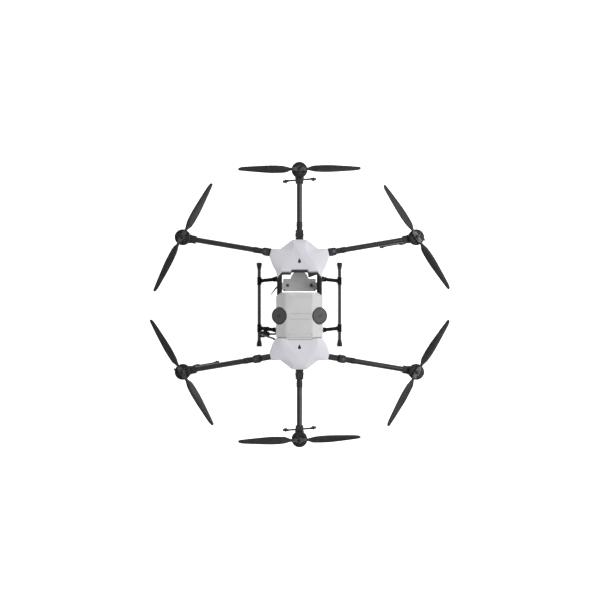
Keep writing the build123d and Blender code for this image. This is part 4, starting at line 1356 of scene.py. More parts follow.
# %% Nozzle bars
def make_nozzles(arm):
    """The post, the bar and two nozzle bodies with caps."""
    down = folds_down[arm]
    inboard, aside, half, turn, top = (38, 0, 88, 94.5, -34.5) if down else (68, -13, 127, 0, -22.5)
    spot = Matrix.Translation((reach[arm] - inboard * MM, aside * MM, 0))
    place = arm_frame[arm] @ spot @ Matrix.Rotation(radians(turn), 4, "Z")
    body, drop = "nozzle_bar_" + arm, -118
    bm = bmesh.new()
    post = [
        (0, drop), (6, drop), (6, drop + 18), (7.5, drop + 19), (7.5, drop + 27), (6, drop + 28),
        (6, top - 9), (9.4, top - 8), (10, top - 7), (10, top - 0.8), (9.4, top), (0, top),
    ]
    spin(bm, mm(post), place, 32)
    slab(bm, rounded_box_outline(-14, 14, -11, 11, 3, 3), drop - 9, drop + 9, place)
    soften(bm, 0.7 * MM)
    bar_start = axis_place(place @ Matrix.Translation(at_mm(0, 0, drop)), 0)
    for side in (-1, 1):
        collar = [(5.6, 8), (9.5, 8), (9.5, 19), (8.6, 20), (7.4, 22), (6.2, 23), (5.6, 23)]
        spin(bm, mm([(r, side * h) for r, h in collar]), bar_start, 28, ring=True)
    finish_piece(bm, "nozzle_post_" + arm, body, nylon)
    bm = bmesh.new()
    ends = [(-half, 0), (-half + 30, 0), (half - 30, 0), (half, 0)]
    sweep_round(bm, [place @ Vector(at_mm(x, 0, drop)) for x, _ in ends], 5.5 * MM, 24)
    piece = finish_piece(bm, "nozzle_pipe_" + arm, body, hose_skin)
    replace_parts(piece, "nozzle_bar_" + arm)
    bm, cap_bm, tip_bm = bmesh.new(), bmesh.new(), bmesh.new()
    for side in (-1, 1):
        at = place @ Matrix.Translation(at_mm(side * half, 0, 0))
        shape = [
            (0, -148), (8, -148), (8, -140), (9, -139), (9, -128), (7.6, -126), (7.6, -124), (9, -123),
            (9, -112), (8.4, -110), (6.5, -109), (6.5, -106.8), (5.6, -106), (0, -106),
        ]
        spin(bm, mm(shape), at, 32)
        valve = axis_place(at @ Matrix.Translation(at_mm(0, 0, -133)), 0)
        stop = [(0, 3), (6.4, 3), (6.4, 12), (8.2, 12.6), (8.2, 17), (7.4, 18), (0, 18)]
        spin(bm, mm([(r, side * h) for r, h in stop]), valve, 28)
        collar = [(0, -18), (7.8, -18), (7.8, -9), (0, -9)]
        bar_end = axis_place(at @ Matrix.Translation(at_mm(0, 0, drop)), 0)
        spin(bm, mm([(r, side * h) for r, h in collar]), bar_end, 8)
        cap = [
            (4, -158), (9.4, -158), (10.4, -157), (10.4, -149), (11.4, -148), (11.4, -142.6),
            (10.8, -142), (8, -142),
        ]
        spin(cap_bm, mm(cap), at, 36, ring=True)
        for wing in (0, 90):
            wing_place = at @ Matrix.Rotation(radians(wing + 35), 4, "Z")
            brick(cap_bm, at_mm(-13, -1.6, -157), at_mm(13, 1.6, -146), wing_place)
        tip = [(0, -157), (4.1, -157), (4.1, -149), (0, -149)]
        spin(tip_bm, mm(tip), at, 20)
    soften(cap_bm, 0.4 * MM, over=50)
    finish_piece(bm, "nozzle_bodies_" + arm, body, nylon)
    finish_piece(cap_bm, "nozzle_caps_" + arm, body, cap_skin)
    finish_piece(tip_bm, "nozzle_tips_" + arm, body, brass)


for arm in arms:
    make_nozzles(arm)
print("nozzles done,", len(made), "pieces")

# %% [markdown]
# ## Hub covers
# Each hub hides under a thin, gloss white cover with a skirt, a rounded shoulder and a raised
# middle that runs out to the three arms. It is built as rings of points, from the foot up to
# the crown. Every corner of an outline is rounded with the same number of points, so the rings
# always match. Then the shell gets its thickness, and notches are cut for the arms.


# %% Outlines with rounded corners
def round_corners(points, radius, steps=5):
    """Rounds every corner of a closed outline. Each corner becomes steps + 1 points."""
    rounded = []
    count = len(points)
    for k, corner in enumerate(points):
        before, after = Vector(points[k - 1]), Vector(points[(k + 1) % count])
        corner = Vector(corner)
        to_before, to_after = before - corner, after - corner
        cut = min(radius, 0.45 * to_before.length, 0.45 * to_after.length)
        start = corner + to_before.normalized() * cut
        end = corner + to_after.normalized() * cut
        for step in range(steps + 1):
            t = step / steps
            rounded.append(tuple(start.lerp(corner, t).lerp(corner.lerp(end, t), t)))
    return rounded


def mirrored(half):
    """A whole outline from its right half, which runs from front to back."""
    return half + [(-x, y) for x, y in reversed(half) if abs(x) > 1e-6]


def drawn_in(outline, by):
    """Moves every point of an outline inwards, square to the outline."""
    moved = []
    count = len(outline)
    for k, (x, y) in enumerate(outline):
        along = Vector(outline[(k + 1) % count]) - Vector(outline[k - 1])
        inward = Vector((along.y, -along.x)).normalized()
        moved.append((x + inward.x * by, y + inward.y * by))
    return moved


def corners_in(corners, by):
    """Moves every side of a clockwise outline inwards and finds its new corners. Done before
    the corners are rounded, so a narrow horn keeps its shape."""
    moved = []
    count = len(corners)
    for k, corner in enumerate(corners):
        corner = Vector(corner)
        before = (corner - Vector(corners[k - 1])).normalized()
        after = (Vector(corners[(k + 1) % count]) - corner).normalized()
        square_before = Vector((before.y, -before.x))
        square_after = Vector((after.y, -after.x))
        middle = square_before + square_after
        moved.append(tuple(corner + middle * (2 * by / middle.length_squared)))
    return moved


# %% Rings of points joined into a skin
def skin_of_rings(bm, rings, close_first=True, close_last=True, material=0):
    """Joins rings of 3-D points that all have the same count."""
    rows = [[bm.verts.new(point) for point in ring] for ring in rings]
    for low, high in zip(rows, rows[1:]):
        for k in range(len(low)):
            j = (k + 1) % len(low)
            bm.faces.new((low[k], low[j], high[j], high[k])).material_index = material
    if close_first:
        bm.faces.new(list(reversed(rows[0]))).material_index = material
    if close_last:
        bm.faces.new(rows[-1]).material_index = material
    return rows


def new_object(bm, name):
    """A bare object from a bmesh, for cutting with."""
    bmesh.ops.recalc_face_normals(bm, faces=bm.faces)
    mesh = bpy.data.meshes.new(name)
    bm.to_mesh(mesh)
    bm.free()
    piece = bpy.data.objects.new(name, mesh)
    bpy.context.scene.collection.objects.link(piece)
    return piece


def carve(base, steps):
    """Applies Boolean steps, each (operation, cutter), and returns the plain mesh. All objects go."""
    for operation, cutter in steps:
        modifier = base.modifiers.new(operation, "BOOLEAN")
        modifier.operation, modifier.object, modifier.solver = operation, cutter, "EXACT"
    graph = bpy.context.evaluated_depsgraph_get()
    mesh = bpy.data.meshes.new_from_object(base.evaluated_get(graph))
    for extra in {base, *[cutter for _, cutter in steps]}:
        old = extra.data
        bpy.data.objects.remove(extra)
        bpy.data.meshes.remove(old)
    return mesh


# %% Cover outlines, in millimetres
front_edge = [
    (43, 399), (118, 341), (173, 343), (185, 295), (167, 244), (143, 200), (138, 162), (110, 197),
    (52, 197), (49, 212),
]
front_crown = [
    (38, 372), (40, 324), (66, 291), (85, 264), (104, 238), (112, 214), (112, 206), (100, 205),
    (56, 205), (53, 216),
]
rear_edge = [
    (76, -213), (80, -204.2), (143, -204.2), (167, -244), (185, -295), (173, -343), (118, -341), (43, -399),
]
rear_crown = [
    (74, -214.6), (80, -206.5), (112, -206.5), (114, -250), (98, -280), (82, -306), (64, -334), (38, -372),
]


def cover_rings(edge, crown, inset):
    """The cover's rings: skirt, shoulder, flank and crown, drawn in by a wall's thickness."""
    levels = [
        (0, 540, 0), (0, 553, 0), (0, 566, 0), (0, 572, 0.2), (0, 575.4, 1.0), (0.06, 577.4, 0.9),
        (0.2, 580.2, 0.3), (0.42, 583.8, 0), (0.64, 587.3, 0), (0.82, 590.2, 0), (0.93, 591.8, 0),
        (0.98, 592.6, 0.3), (1, 593, 1.2),
    ]
    rings = []
    for share, height, tucked in levels:
        low = round_corners(corners_in(mirrored(edge), tucked + inset), 7)
        high = round_corners(corners_in(mirrored(crown), tucked + inset), 8)
        rings.append([
            at_mm(x0 + (x1 - x0) * share, y0 + (y1 - y0) * share, height - inset)
            for (x0, y0), (x1, y1) in zip(low, high)
        ])
    return rings


# %% Make the covers
side_arm_lean = 9.6  # degrees that a side arm leans from square across
def notch(place, x0, x1, half, top):
    """A cutter with rounded upper corners, pushed along x."""
    bm = bmesh.new()
    outline = [(-half, -60), (half, -60)]
    outline += arc(half - 9, top - 9, 9, 0, 90, 4) + arc(9 - half, top - 9, 9, 90, 180, 4)
    along = place @ lengthwise
    slab(bm, outline, x0, x1, along)
    return new_object(bm, "notch")


def make_cover(name, edge, crown, sense):
    """The shell, its three notches, and for the front cover an opening at its back."""
    bm = bmesh.new()
    skin_of_rings(bm, cover_rings(edge, crown, 0))
    base = new_object(bm, name)
    hollow = bmesh.new()
    rings = cover_rings(edge, crown, 3)
    rings[0] = [(x, y, 530 * MM) for x, y, _ in rings[0]]
    skin_of_rings(hollow, rings)
    steps = [("DIFFERENCE", new_object(hollow, "hollow"))]
    for arm in arms:
        if (arm_frame[arm].translation.y > 0) != (sense > 0):
            continue
        pivot = arm_frame[arm]
        if folds_down[arm]:
            steps.append(("DIFFERENCE", notch(pivot, -90, -20, 27, 27.5)))
        else:
            out = abs(pivot.translation.x / MM) / cos(radians(side_arm_lean))
            steps.append(("DIFFERENCE", notch(pivot, 88 - out, 210 - out, 27, 27.5)))
    if sense > 0:
        bm = bmesh.new()
        brick(bm, (-0.15, 0.14, 0.53), (0.15, 0.2165, 0.572))
        steps.append(("DIFFERENCE", new_object(bm, "rear_opening")))
    mesh = carve(base, steps)
    shell = bmesh.new()
    shell.from_mesh(mesh)
    bpy.data.meshes.remove(mesh)
    piece = finish_piece(shell, name + "_shell", "frame", cover_skin)
    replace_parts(piece, name)
    return piece


for name, edge, crown, sense in (
    ("front_cover", front_edge, front_crown, 1), ("rear_cover", rear_edge, rear_crown, -1),
):
    piece = make_cover(name, edge, crown, sense)
    print(name, len(piece.data.polygons), "faces")

# %% [markdown]
# ### A plain drop on each cover
# Each cover carries a small dark sign. Here it is a plain water drop, for a machine that sprays,
# cut from thin film and laid on the crown.


# %% Drops
def drop_outline(width, height):
    """A round bottom and a point at the top."""
    radius = width / 2
    lean = acos(radius / (height - radius))
    sweep = [pi / 2 + lean + (2 * pi - 2 * lean) * k / 28 for k in range(29)]
    return [(radius * cos(a), radius * sin(a)) for a in sweep] + [(0, height - radius)]


for name, y in (("front", 263), ("rear", -263)):
    bm = bmesh.new()
    spot = Matrix.Translation(at_mm(0, y, 593))
    slab(bm, drop_outline(19, 30), -0.4, 0.18, spot)
    finish_piece(bm, "drop_sign_" + name, "frame", emblem_ink)

# %% [markdown]
# ## Inside the hubs
# Two carbon plates with round posts between them carry the forks, and blocks clamp the lower
# plate to the rails. Windows cut in the plates save weight, and the controllers stand between.

# %% Plates
front_plate = [
    (38, 392), (114, 334), (166, 336), (177, 295), (160, 246), (138, 204), (138, 146), (106, 184),
    (53, 184), (50, 198),
]
rear_plate = [
    (79, -224), (82, -213), (137, -213), (160, -246), (177, -295), (166, -336), (114, -334), (38, -392),
]
plate_window = {
    1: [(82, 222), (132, 232), (146, 262), (84, 262)],
    -1: [(84, 226), (130, 226), (142, 262), (84, 262)],
}
plate_t = 2.5


def make_plate(name, half, low, sense):
    """A carbon plate with windows."""
    bm = bmesh.new()
    slab(bm, round_corners(mirrored(half), 5, 4), low, low + plate_t)
    windows = []
    for side in (-1, 1):
        cutter = bmesh.new()
        outline = round_corners([(side * x, sense * y) for x, y in plate_window[sense]], 9, 4)
        slab(cutter, outline, low - 2, low + plate_t + 2)
        windows.append(("DIFFERENCE", new_object(cutter, "window")))
    mesh = carve(new_object(bm, name), windows)
    piece = settle(mesh, name, "frame", carbon_plate_skin)
    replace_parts(piece, "hub_frames")


for name, half, sense in (("front", front_plate, 1), ("rear", rear_plate, -1)):
    make_plate(f"plate_{name}_low", half, 516.5, sense)
    make_plate(f"plate_{name}_top", half, 569.0, sense)
    for side in (-1, 1):
        for x, y in ((60, 232), (112, 246), (104, 300), (48, 352)):
            bm = bmesh.new()
            post = [
                (0, 519), (6, 519), (6, 527), (5, 528.5), (4, 530), (4, 558), (5, 559.5), (6, 561),
                (6, 569), (0, 569),
            ]
            spin(bm, mm(post), Matrix.Translation(at_mm(side * x, sense * y, 0)), 6 if x == 112 else 24)
            finish_piece(bm, f"post_{name}_{'lr'[side > 0]}_{x}", "frame", anodised)
            screw("frame", at_mm(side * x, sense * y, 516.5), (0, 0, -1), 1.0)
            screw("frame", at_mm(side * x, sense * y, 571.5), (0, 0, 1), 1.0)

# %% [markdown]
# ### Rails and their clamps
# Two carbon tubes join the hubs. Each clamp is a block in two halves round the tube, with two
# screws from below.


# %% Rails and clamps
rail_x, rail_z, rail_r, rail_wall, rail_half = 124, 500, 16, 2, 330
for side in (-1, 1):
    tag = "lr"[side > 0]
    bm = bmesh.new()
    start = Matrix.Translation(at_mm(side * rail_x, -rail_half, rail_z)) @ to_front
    length, inner = 2 * rail_half, rail_r - rail_wall
    wall = [(rail_r, 0), (rail_r, length), (inner, length), (inner, 0)]
    spin(bm, mm(wall), start, 64, ring=True)
    piece = finish_piece(bm, "rail_tube_" + tag, "frame", rail_skin)
    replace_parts(piece, "side_rails")
    for end in (0, length):
        bm = bmesh.new()
        inwards = 1 if end == 0 else -1
        plug = [(0, 0.3), (13, 0.3), (13.9, 1.2), (13.9, 14), (0, 14)]
        spin(bm, [(r * MM, (end + inwards * h) * MM) for r, h in plug], start, 40)
        finish_piece(bm, f"rail_plug_{tag}_{end}", "frame", rubber)
    for y in (-310, -235, 235, 310):
        bm = bmesh.new()
        place = Matrix.Translation(at_mm(side * rail_x, y - 12, rail_z))
        across = place @ crosswise
        for part in (-1, 1):
            bore = arc(0, 0, rail_r + 0.1, 2, 178, 18)
            depth = 21 if part < 0 else 16.5
            shell = [(22, 0.5), (22, depth - 4), (18, depth), (-18, depth), (-22, depth - 4), (-22, 0.5)]
            outline = [(x, part * z) for x, z in shell + list(reversed(bore))]
            slab(bm, outline, 0, 24, across)
        finish_piece(bm, f"rail_clamp_{tag}_{y}".replace("-", "m"), "frame", nylon, 0.8 * MM)
        for dy in (-7, 7):
            for dx in (-18.5, 18.5):
                screw("frame", at_mm(side * rail_x + dx, y + dy, rail_z - 18), (0, 0, -1), 0.8)
print("hubs and rails done,", len(made), "pieces")

# %% [markdown]
# ### Controllers and the battery socket
# The flight controller and the power board sit in moulded cases, and plugs stand along the flight
# controller's front edge.
# The battery's socket stands at the front edge of the bay.


# %% Cases
def case(name, x0, x1, y0, y1, low, high):
    """A moulded case: a body and a lid with a step."""
    bm = bmesh.new()
    slab(bm, rounded_box_outline(x0, x1, y0, y1, 6), low, high - 7)
    slab(bm, rounded_box_outline(x0 + 1, x1 - 1, y0 + 1, y1 - 1, 5), high - 7.5, high - 5.5)
    slab(bm, rounded_box_outline(x0, x1, y0, y1, 6), high - 6, high - 1)
    slab(bm, rounded_box_outline(x0 + 12, x1 - 12, y0 + 14, y1 - 14, 5), high - 1.5, high)
    piece = finish_piece(bm, name, "frame", case_skin, 0.7 * MM)
    for x in (x0 + 6, x1 - 6):
        for y in (y0 + 6, y1 - 6):
            screw("frame", at_mm(x, y, high - 1), (0, 0, 1), 0.7)
    return piece


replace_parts(case("flight_controller", -40, 40, 240, 318, 519, 549), "avionics_boxes")
case("power_case", -45, 45, -320, -245, 519, 545)
row_of(
    "controller_plugs", "frame", case_skin, Matrix.Translation(at_mm(-30, 318.6, 529)), "case_plastic",
    Count=6, Pitch=12 * MM, Block_size=(0.009, 0.0024, 0.008),
)
bm = bmesh.new()
wedge = round_corners([(54, 183.5), (102, 183.5), (62, 168), (54, 170)], 2.5, 3)
slab(bm, wedge, 516.5, 542.5)
finish_piece(bm, "battery_socket", "frame", case_skin, 0.8 * MM)
row_of(
    "battery_contacts", "frame", brass, Matrix.Translation(at_mm(58, 169.6, 530)), "case_plastic",
    Count=2, Pitch=6 * MM, Block_size=(0.0028, 0.0016, 0.016),
)

# %% [markdown]
# ## The tank
# The tank is blow moulded: one skin with a flat top, sloping shoulders and a narrow belly that
# drops between the rails. Its skin is a stack of cross-sections from front to back. The top has
# two sunk panels that stiffen it, and round seats for the lids are cut into the slopes.

# %% Tank sizes, in millimetres
tank_front, tank_rear, tank_top, tank_low = 75, -203, 596, 318
flat_half, tank_half, belly_half, shelf_z = 84, 144, 104, 517
lid_lean = 28  # degrees, the slope of the tank's shoulders
slope = tan(radians(lid_lean))
lid_x, lid_y, lid_z = 127.5, -69, 576.1
# sunk across the top: (rear edge, front edge, depth)
channels = [(37, 50, 2.2), (-57.5, -53.5, 2.4), (-91.5, -87, 2.6), (-193, -180, 2.2)]
channel_half, channel_edge, pocket_depth = 72, 1.6, 4.0
pockets = [(40, 58), (-194, -178)]


def ramp(value, start, end):
    """0 before start, 1 after end, smooth between."""
    t = min(1.0, max(0.0, (value - start) / (end - start)))
    return t * t * (3 - 2 * t)


def sunk(x, y):
    """How deep the top is sunk at a point: channels across it, with a pocket at each corner."""
    deep = 0.0
    for low, high, depth in channels:
        over = ramp(y, low, low + channel_edge) * ramp(-y, -high, -high + channel_edge)
        deep = max(deep, depth * over * ramp(-abs(x), -channel_half, -channel_half + 4))
    for low, high in pockets:
        over = ramp(y, low, low + channel_edge) * ramp(-y, -high, -high + channel_edge)
        deep = max(deep, pocket_depth * over * ramp(abs(x), 61, 64) * ramp(-abs(x), -78, -75))
    return deep


def top_half_width(y):
    """The front corners are cut back in plan."""
    return min(tank_half, 108 + max(0.0, tank_front + 1 - y) * 1.5)


def tank_ring(y, inset):
    """One cross-section, as (x, z) points with rounded corners."""
    wide = top_half_width(y)
    shoulder = tank_top - (wide - flat_half) * slope
    corners = [
        (wide, shoulder), (wide, shelf_z), (min(wide, belly_half + 3), shelf_z), (belly_half, shelf_z - 3),
        (belly_half, tank_low + 30), (belly_half - 24, tank_low),
    ]
    whole = corners + [(-x, z) for x, z in reversed(corners)]
    soft = round_corners(whole, 13, 4)
    crown = []
    inner = [-flat_half - 14, -flat_half - 7, -flat_half - 2, -flat_half + 2]
    inner += [-78, -76.5, -75, -72, -70, -68, -64, -62.5, -61] + list(range(-50, 51, 10))
    inner += [61, 62.5, 64, 68, 70, 72, 75, 76.5, 78]
    inner += [flat_half - 2, flat_half + 2, flat_half + 7, flat_half + 14]
    for x in inner:
        past = max(0.0, abs(x) - flat_half)
        # the edge between the flat top and the slope is a soft ridge, not a crease
        z = tank_top - past * slope - 1.6 * exp(-((abs(x) - flat_half) / 6) ** 2) - sunk(x, y)
        crown.append((x, z))
    ring = crown + soft
    return drawn_in(ring, inset) if inset else ring


def tank_skin(inset, name):
    """The whole skin, drawn in by `inset` millimetres."""
    bm = bmesh.new()
    ends = [0, 0.6, 2, 4.5, 8]
    tuck = [7, 4.4, 2, 0.6, 0]
    steps = {round(tank_front - inset - d, 3): t for d, t in zip(ends, tuck)}
    steps.update({round(tank_rear + inset + d, 3): t for d, t in zip(ends, tuck)})
    for edges in channels + pockets:
        for edge in (edges[0], edges[1] - channel_edge):
            for part in (0, 0.33, 0.67, 1):
                y = edge + part * channel_edge
                clear = tank_rear + inset + 8.5 < y < tank_front - inset - 8.5
                if clear and min(abs(y - other) for other in steps) > 0.2:
                    steps[y] = 0
    for y in range(-195, 67, 8):
        if min(abs(y - other) for other in steps) > 2.4:
            steps[y] = 0
    rings = []
    for y in sorted(steps, reverse=True):
        ring = tank_ring(y, inset + steps[y])
        rings.append([at_mm(x, y, z) for x, z in ring])
    skin_of_rings(bm, rings)
    return new_object(bm, name)


# %% [markdown]
# ### Seats and filler necks
# A lid's axis leans outwards with the slope. On that axis stand the seat's round floor, the
# threaded neck and the strainer. Exact Boolean steps join and cut them, as the mould would.


# %% Lid frames and the carved tank
lid_frames = {}
for side, tag in ((-1, "left"), (1, "right")):
    lean = Matrix.Rotation(side * radians(lid_lean), 4, "Y")
    lid_frames[tag] = Matrix.Translation(at_mm(side * lid_x, lid_y, lid_z)) @ lean


def turned_cutter(profile, place, name, steps=80):
    """A turned solid for cutting with."""
    bm = bmesh.new()
    spin(bm, mm(solid_turned(profile)), place, steps)
    return new_object(bm, name)


def make_tank():
    """Outer skin and seats, less the hollow, with necks."""
    outer = tank_skin(0, "tank")
    hollow = tank_skin(3, "hollow")
    inner_steps, steps, necks = [], [], []
    for tag, place in lid_frames.items():
        bm = bmesh.new()
        spin(bm, mm(solid_turned([(50, -52), (53.5, -47), (53.5, -29), (51.5, -27)])), place, 80)
        bmesh.ops.bisect_plane(
            bm, geom=bm.verts[:] + bm.edges[:] + bm.faces[:], plane_co=at_mm(0, 0, shelf_z + 0.4),
            plane_no=(0, 0, -1), clear_outer=True,
        )
        bmesh.ops.holes_fill(bm, edges=[e for e in bm.edges if e.is_boundary], sides=0)
        steps.append(("UNION", new_object(bm, "seat")))
        inner_steps.append(("DIFFERENCE", turned_cutter([(56.5, -30), (56.5, 40)], place, "recess_wall")))
    hollow_mesh = carve(hollow, inner_steps)
    hollow = bpy.data.objects.new("hollow", hollow_mesh)
    bpy.context.scene.collection.objects.link(hollow)
    for place in lid_frames.values():
        steps.append(("DIFFERENCE", turned_cutter([(53.5, -27), (53.5, 40)], place, "recess")))
    steps.append(("DIFFERENCE", hollow))
    for place in lid_frames.values():
        neck = [
            (44, -29), (44, -18), (45.5, -17.4), (45.5, -16), (44, -15.4), (44, -12), (45.5, -11.4),
            (45.5, -10), (44, -9.4), (44, -5.4), (43.2, -4.5),
        ]
        steps.append(("UNION", turned_cutter(neck, place, "neck", 64)))
        steps.append(("DIFFERENCE", turned_cutter([(41.5, -50), (41.5, 5)], place, "bore", 64)))
    lip = bmesh.new()
    half_lip = [(75.2, -212.4), (79, -204.8), (79, -202)]
    outline = [(-x, y) for x, y in half_lip] + [(x, y) for x, y in reversed(half_lip)]
    slab(lip, outline, 580, 595.6)
    soften(lip, 1.5 * MM, 3)
    steps.append(("UNION", new_object(lip, "lip")))
    mesh = carve(outer, steps)
    return settle(mesh, "tank_skin", "tank", tank_skin_material, 30)


tank_piece = make_tank()
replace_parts(tank_piece, "tank")
print("tank:", len(tank_piece.data.polygons), "faces")

# %% [markdown]
# ### Lids and strainers
# A lid is a shallow cup with a raised rim and ribs for the hand, made by the ring tree. Under it
# a basket strainer hangs in the neck, made of upright bars and hoops.


# %% Lids and strainers
for tag, place in lid_frames.items():
    body = "tank_lid_" + tag
    bm = bmesh.new()
    cup = [
        (48.5, -24), (51, -24), (51, -19), (50.6, -18.4), (50.6, -2.6), (50.2, -1.2), (49, -0.3), (47.5, 0),
        (45.5, 0), (44.6, -0.7), (44.2, -1.6), (12, -1.6), (11.4, -0.9), (10.5, -0.7), (0, -0.7),
    ]
    inside = [(0, -4.6), (47.6, -4.6), (48.5, -5.6)]
    spin(bm, mm(inside + cup), place, 96)
    piece = finish_piece(bm, "lid_cup_" + tag, body, lid_skin)
    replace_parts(piece, body)
    ring_of(
        "lid_ribs_" + tag, body, lid_skin, place, "lid_plastic",
        Count=54, Radius=51.1 * MM, Height=-10.4 * MM, Block_size=(0.0032, 0.0152, 0.0018),
    )
    bm = bmesh.new()
    disc = [(12.4, -2), (12.4, -1.3), (13.2, -1.05), (27.4, -1.05), (28, -1.3), (28, -2)]
    spin(bm, mm(disc), place, 72, ring=True)
    outer = [(29, -2), (29, -1.3), (29.6, -1.05), (43.2, -1.05), (43.8, -1.3), (43.8, -2)]
    spin(bm, mm(outer), place, 72, ring=True)
    finish_piece(bm, "lid_face_" + tag, body, lid_top_skin)
    bm = bmesh.new()
    rim = [(32, -4.4), (45, -4.4), (45, -3.8), (33.2, -3.8), (33.2, -5), (32, -5)]
    spin(bm, mm(rim), place, 64, ring=True)
    for height in (-12, -20, -28, -36):
        hoop = [(31.6, height), (33, height), (33, height + 1), (31.6, height + 1)]
        spin(bm, mm(hoop), place, 48, ring=True)
    spin(bm, mm([(0, -46), (33, -46), (33, -44), (31.6, -44), (0, -44.8)]), place, 48)
    piece = finish_piece(bm, "strainer_" + tag, "tank", mesh_skin)
    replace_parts(piece, "tank_strainers")
    ring_of(
        "strainer_bars_" + tag, "tank", mesh_skin, place, "strainer_plastic",
        Count=36, Radius=32.2 * MM, Height=-25 * MM, Block_size=(0.0018, 0.0405, 0.0014),
    )
bm = bmesh.new()
outlet = Matrix.Translation(at_mm(-60, -150, 0))
plug = [
    (0, 292), (11, 292), (13, 294), (13, 304), (12, 304.6), (12, 307), (13, 307.6), (13, 312.5),
    (20, 313), (20, 317), (18.5, 318.4), (0, 318.4),
]
spin(bm, mm(plug), outlet, 40)
piece = finish_piece(bm, "outlet_plug", "tank", nylon)
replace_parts(piece, "tank_outlet")
print("lids and strainers done,", len(made), "pieces")

# %% [markdown]
# ## Landing gear
# Four carbon legs lean out from brackets under the rails to two skid tubes. Each joint with a
# skid is a T-piece with clamp screws, and flared rubber ends keep the skids off the ground.

# %% Legs, skids, brackets and feet
skid_x, skid_z, skid_end, leg_y = 273, 17.6, 284.5, 160
leg_top_x, leg_top_z = 146, 442


def leg_spot(side, fore, share):
    """A point on a leg's axis, from its top (0) to the skid (1)."""
    x = leg_top_x + (skid_x - leg_top_x) * share
    z = leg_top_z + (skid_z - leg_top_z) * share
    return Vector(at_mm(side * x, fore * leg_y, z))


def leg_frame(side, fore):
    """Origin at the leg's top, with z running down the leg."""
    top, foot = leg_spot(side, fore, 0), leg_spot(side, fore, 1)
    z = (foot - top).normalized()
    y = Vector((0, 1, 0))
    return Matrix.Translation(top) @ Matrix((y.cross(z), y, z)).transposed().to_4x4(), (foot - top).length


def make_leg(side, fore):
    """A leg's tube, its bracket on the rail and its T-piece on the skid."""
    tag = f"{'rf'[fore > 0]}{'lr'[side > 0]}"
    place, length = leg_frame(side, fore)
    bm = bmesh.new()
    ends = [length * 0.04, length * 0.955]
    wall = [(11.5 * MM, ends[0]), (11.5 * MM, ends[1]), (10 * MM, ends[1]), (10 * MM, ends[0])]
    spin(bm, wall, place, 40, ring=True)
    piece = finish_piece(bm, "leg_" + tag, "frame", leg_tube_skin)
    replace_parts(piece, "landing_gear_tubes")
    bm = bmesh.new()
    outline = [(112, 440), (148, 440), (152, 444), (152, 468), (146, 494), (112, 494)]
    across = Matrix.Translation(at_mm(0, fore * leg_y - 17, 0)) @ crosswise
    hollow = arc(rail_x, rail_z, rail_r + 0.1, 202, 338, 18)
    flank = [(side * x, z) for x, z in outline[:-1] + [(139, 494)] + list(reversed(hollow)) + [(112, 490)]]
    if side > 0:
        flank.reverse()
    slab(bm, flank, 0, 34, across)
    soften(bm, 1.3 * MM)
    top_socket = [
        (11.7, -6), (14.6, -6), (15.5, -5), (15.5, 8), (14.5, 9), (14.5, 38), (15.5, 39), (15.5, 50),
        (14.8, 52), (11.7, 52),
    ]
    spin(bm, mm(top_socket), place, 40, ring=True)
    piece = finish_piece(bm, "leg_bracket_" + tag, "frame", leg_fitting_skin)
    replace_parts(piece, "landing_gear_fittings")
    for dy in (-10, 10):
        for out, height in ((151.5, 452), (149.4, 478)):
            screw("frame", at_mm(side * out, fore * leg_y + dy, height), (side, 0, 0.1), 0.9)
    bm = bmesh.new()
    low = length / MM
    collar = [
        (11.7, low * 0.86), (13.6, low * 0.86), (14.5, low * 0.862), (14.5, low * 0.9),
        (13.8, low * 0.905), (13.8, low - 8), (11.7, low - 8),
    ]
    spin(bm, mm(collar), place, 36, ring=True)
    skid_place = Matrix.Translation(at_mm(side * skid_x, fore * leg_y - 26, skid_z)) @ to_front
    tee = [
        (11.1, 0), (13.6, 0), (14.5, 0.9), (14.5, 9), (13.7, 10), (13.7, 42), (14.5, 43), (14.5, 51.1),
        (13.6, 52), (11.1, 52),
    ]
    spin(bm, mm(tee), skid_place, 40, ring=True)
    finish_piece(bm, "leg_tee_" + tag, "frame", leg_fitting_skin)
    for dy in (-21.5, 21.5):
        screw("frame", at_mm((skid_x - 13.9) * side, fore * leg_y + dy, skid_z + 3), (-side, 0, 0.25), 0.8)
        screw("frame", at_mm(skid_x * side, fore * leg_y + dy, skid_z + 14.2), (0, 0, 1), 0.7)


def make_skid(side):
    """A skid tube with a flared rubber end at each end."""
    tag = "lr"[side > 0]
    bm = bmesh.new()
    start = Matrix.Translation(at_mm(side * skid_x, -skid_end + 4, skid_z)) @ to_front
    length = 2 * skid_end - 8
    spin(bm, mm([(11, 0), (11, length), (9.5, length), (9.5, 0)]), start, 40, ring=True)
    finish_piece(bm, "skid_" + tag, "frame", carbon_tube_skin)
    for fore in (-1, 1):
        flip = Matrix.Rotation(0 if fore < 0 else pi, 4, "Z")
        spot = Matrix.Translation(at_mm(side * skid_x, fore * skid_end, skid_z))
        end = spot @ flip @ to_front
        bm = bmesh.new()
        shape = [
            (0, 1.4), (13, 1.4), (14, 0.2), (17, 0), (18.25, 1.4), (18.25, 4), (17.5, 4.8), (17.5, 6.2),
            (18.25, 7), (18.25, 10), (17.5, 10.8), (17.5, 12.2), (18.1, 13), (17.6, 18), (15.6, 26),
            (13.4, 36), (12.8, 43), (11.1, 43), (11.1, 4), (0, 4),
        ]
        spin(bm, mm(shape), end, 44)
        # the ends stand on the ground, so their undersides are cut level
        bmesh.ops.bisect_plane(
            bm, geom=bm.verts[:] + bm.edges[:] + bm.faces[:], plane_co=(0, 0, 0.00005), plane_no=(0, 0, -1),
            clear_outer=True,
        )
        bmesh.ops.holes_fill(bm, edges=[e for e in bm.edges if e.is_boundary], sides=0)
        piece = finish_piece(bm, f"skid_foot_{'rf'[fore > 0]}{tag}", "frame", rubber)
        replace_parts(piece, "skid_feet")


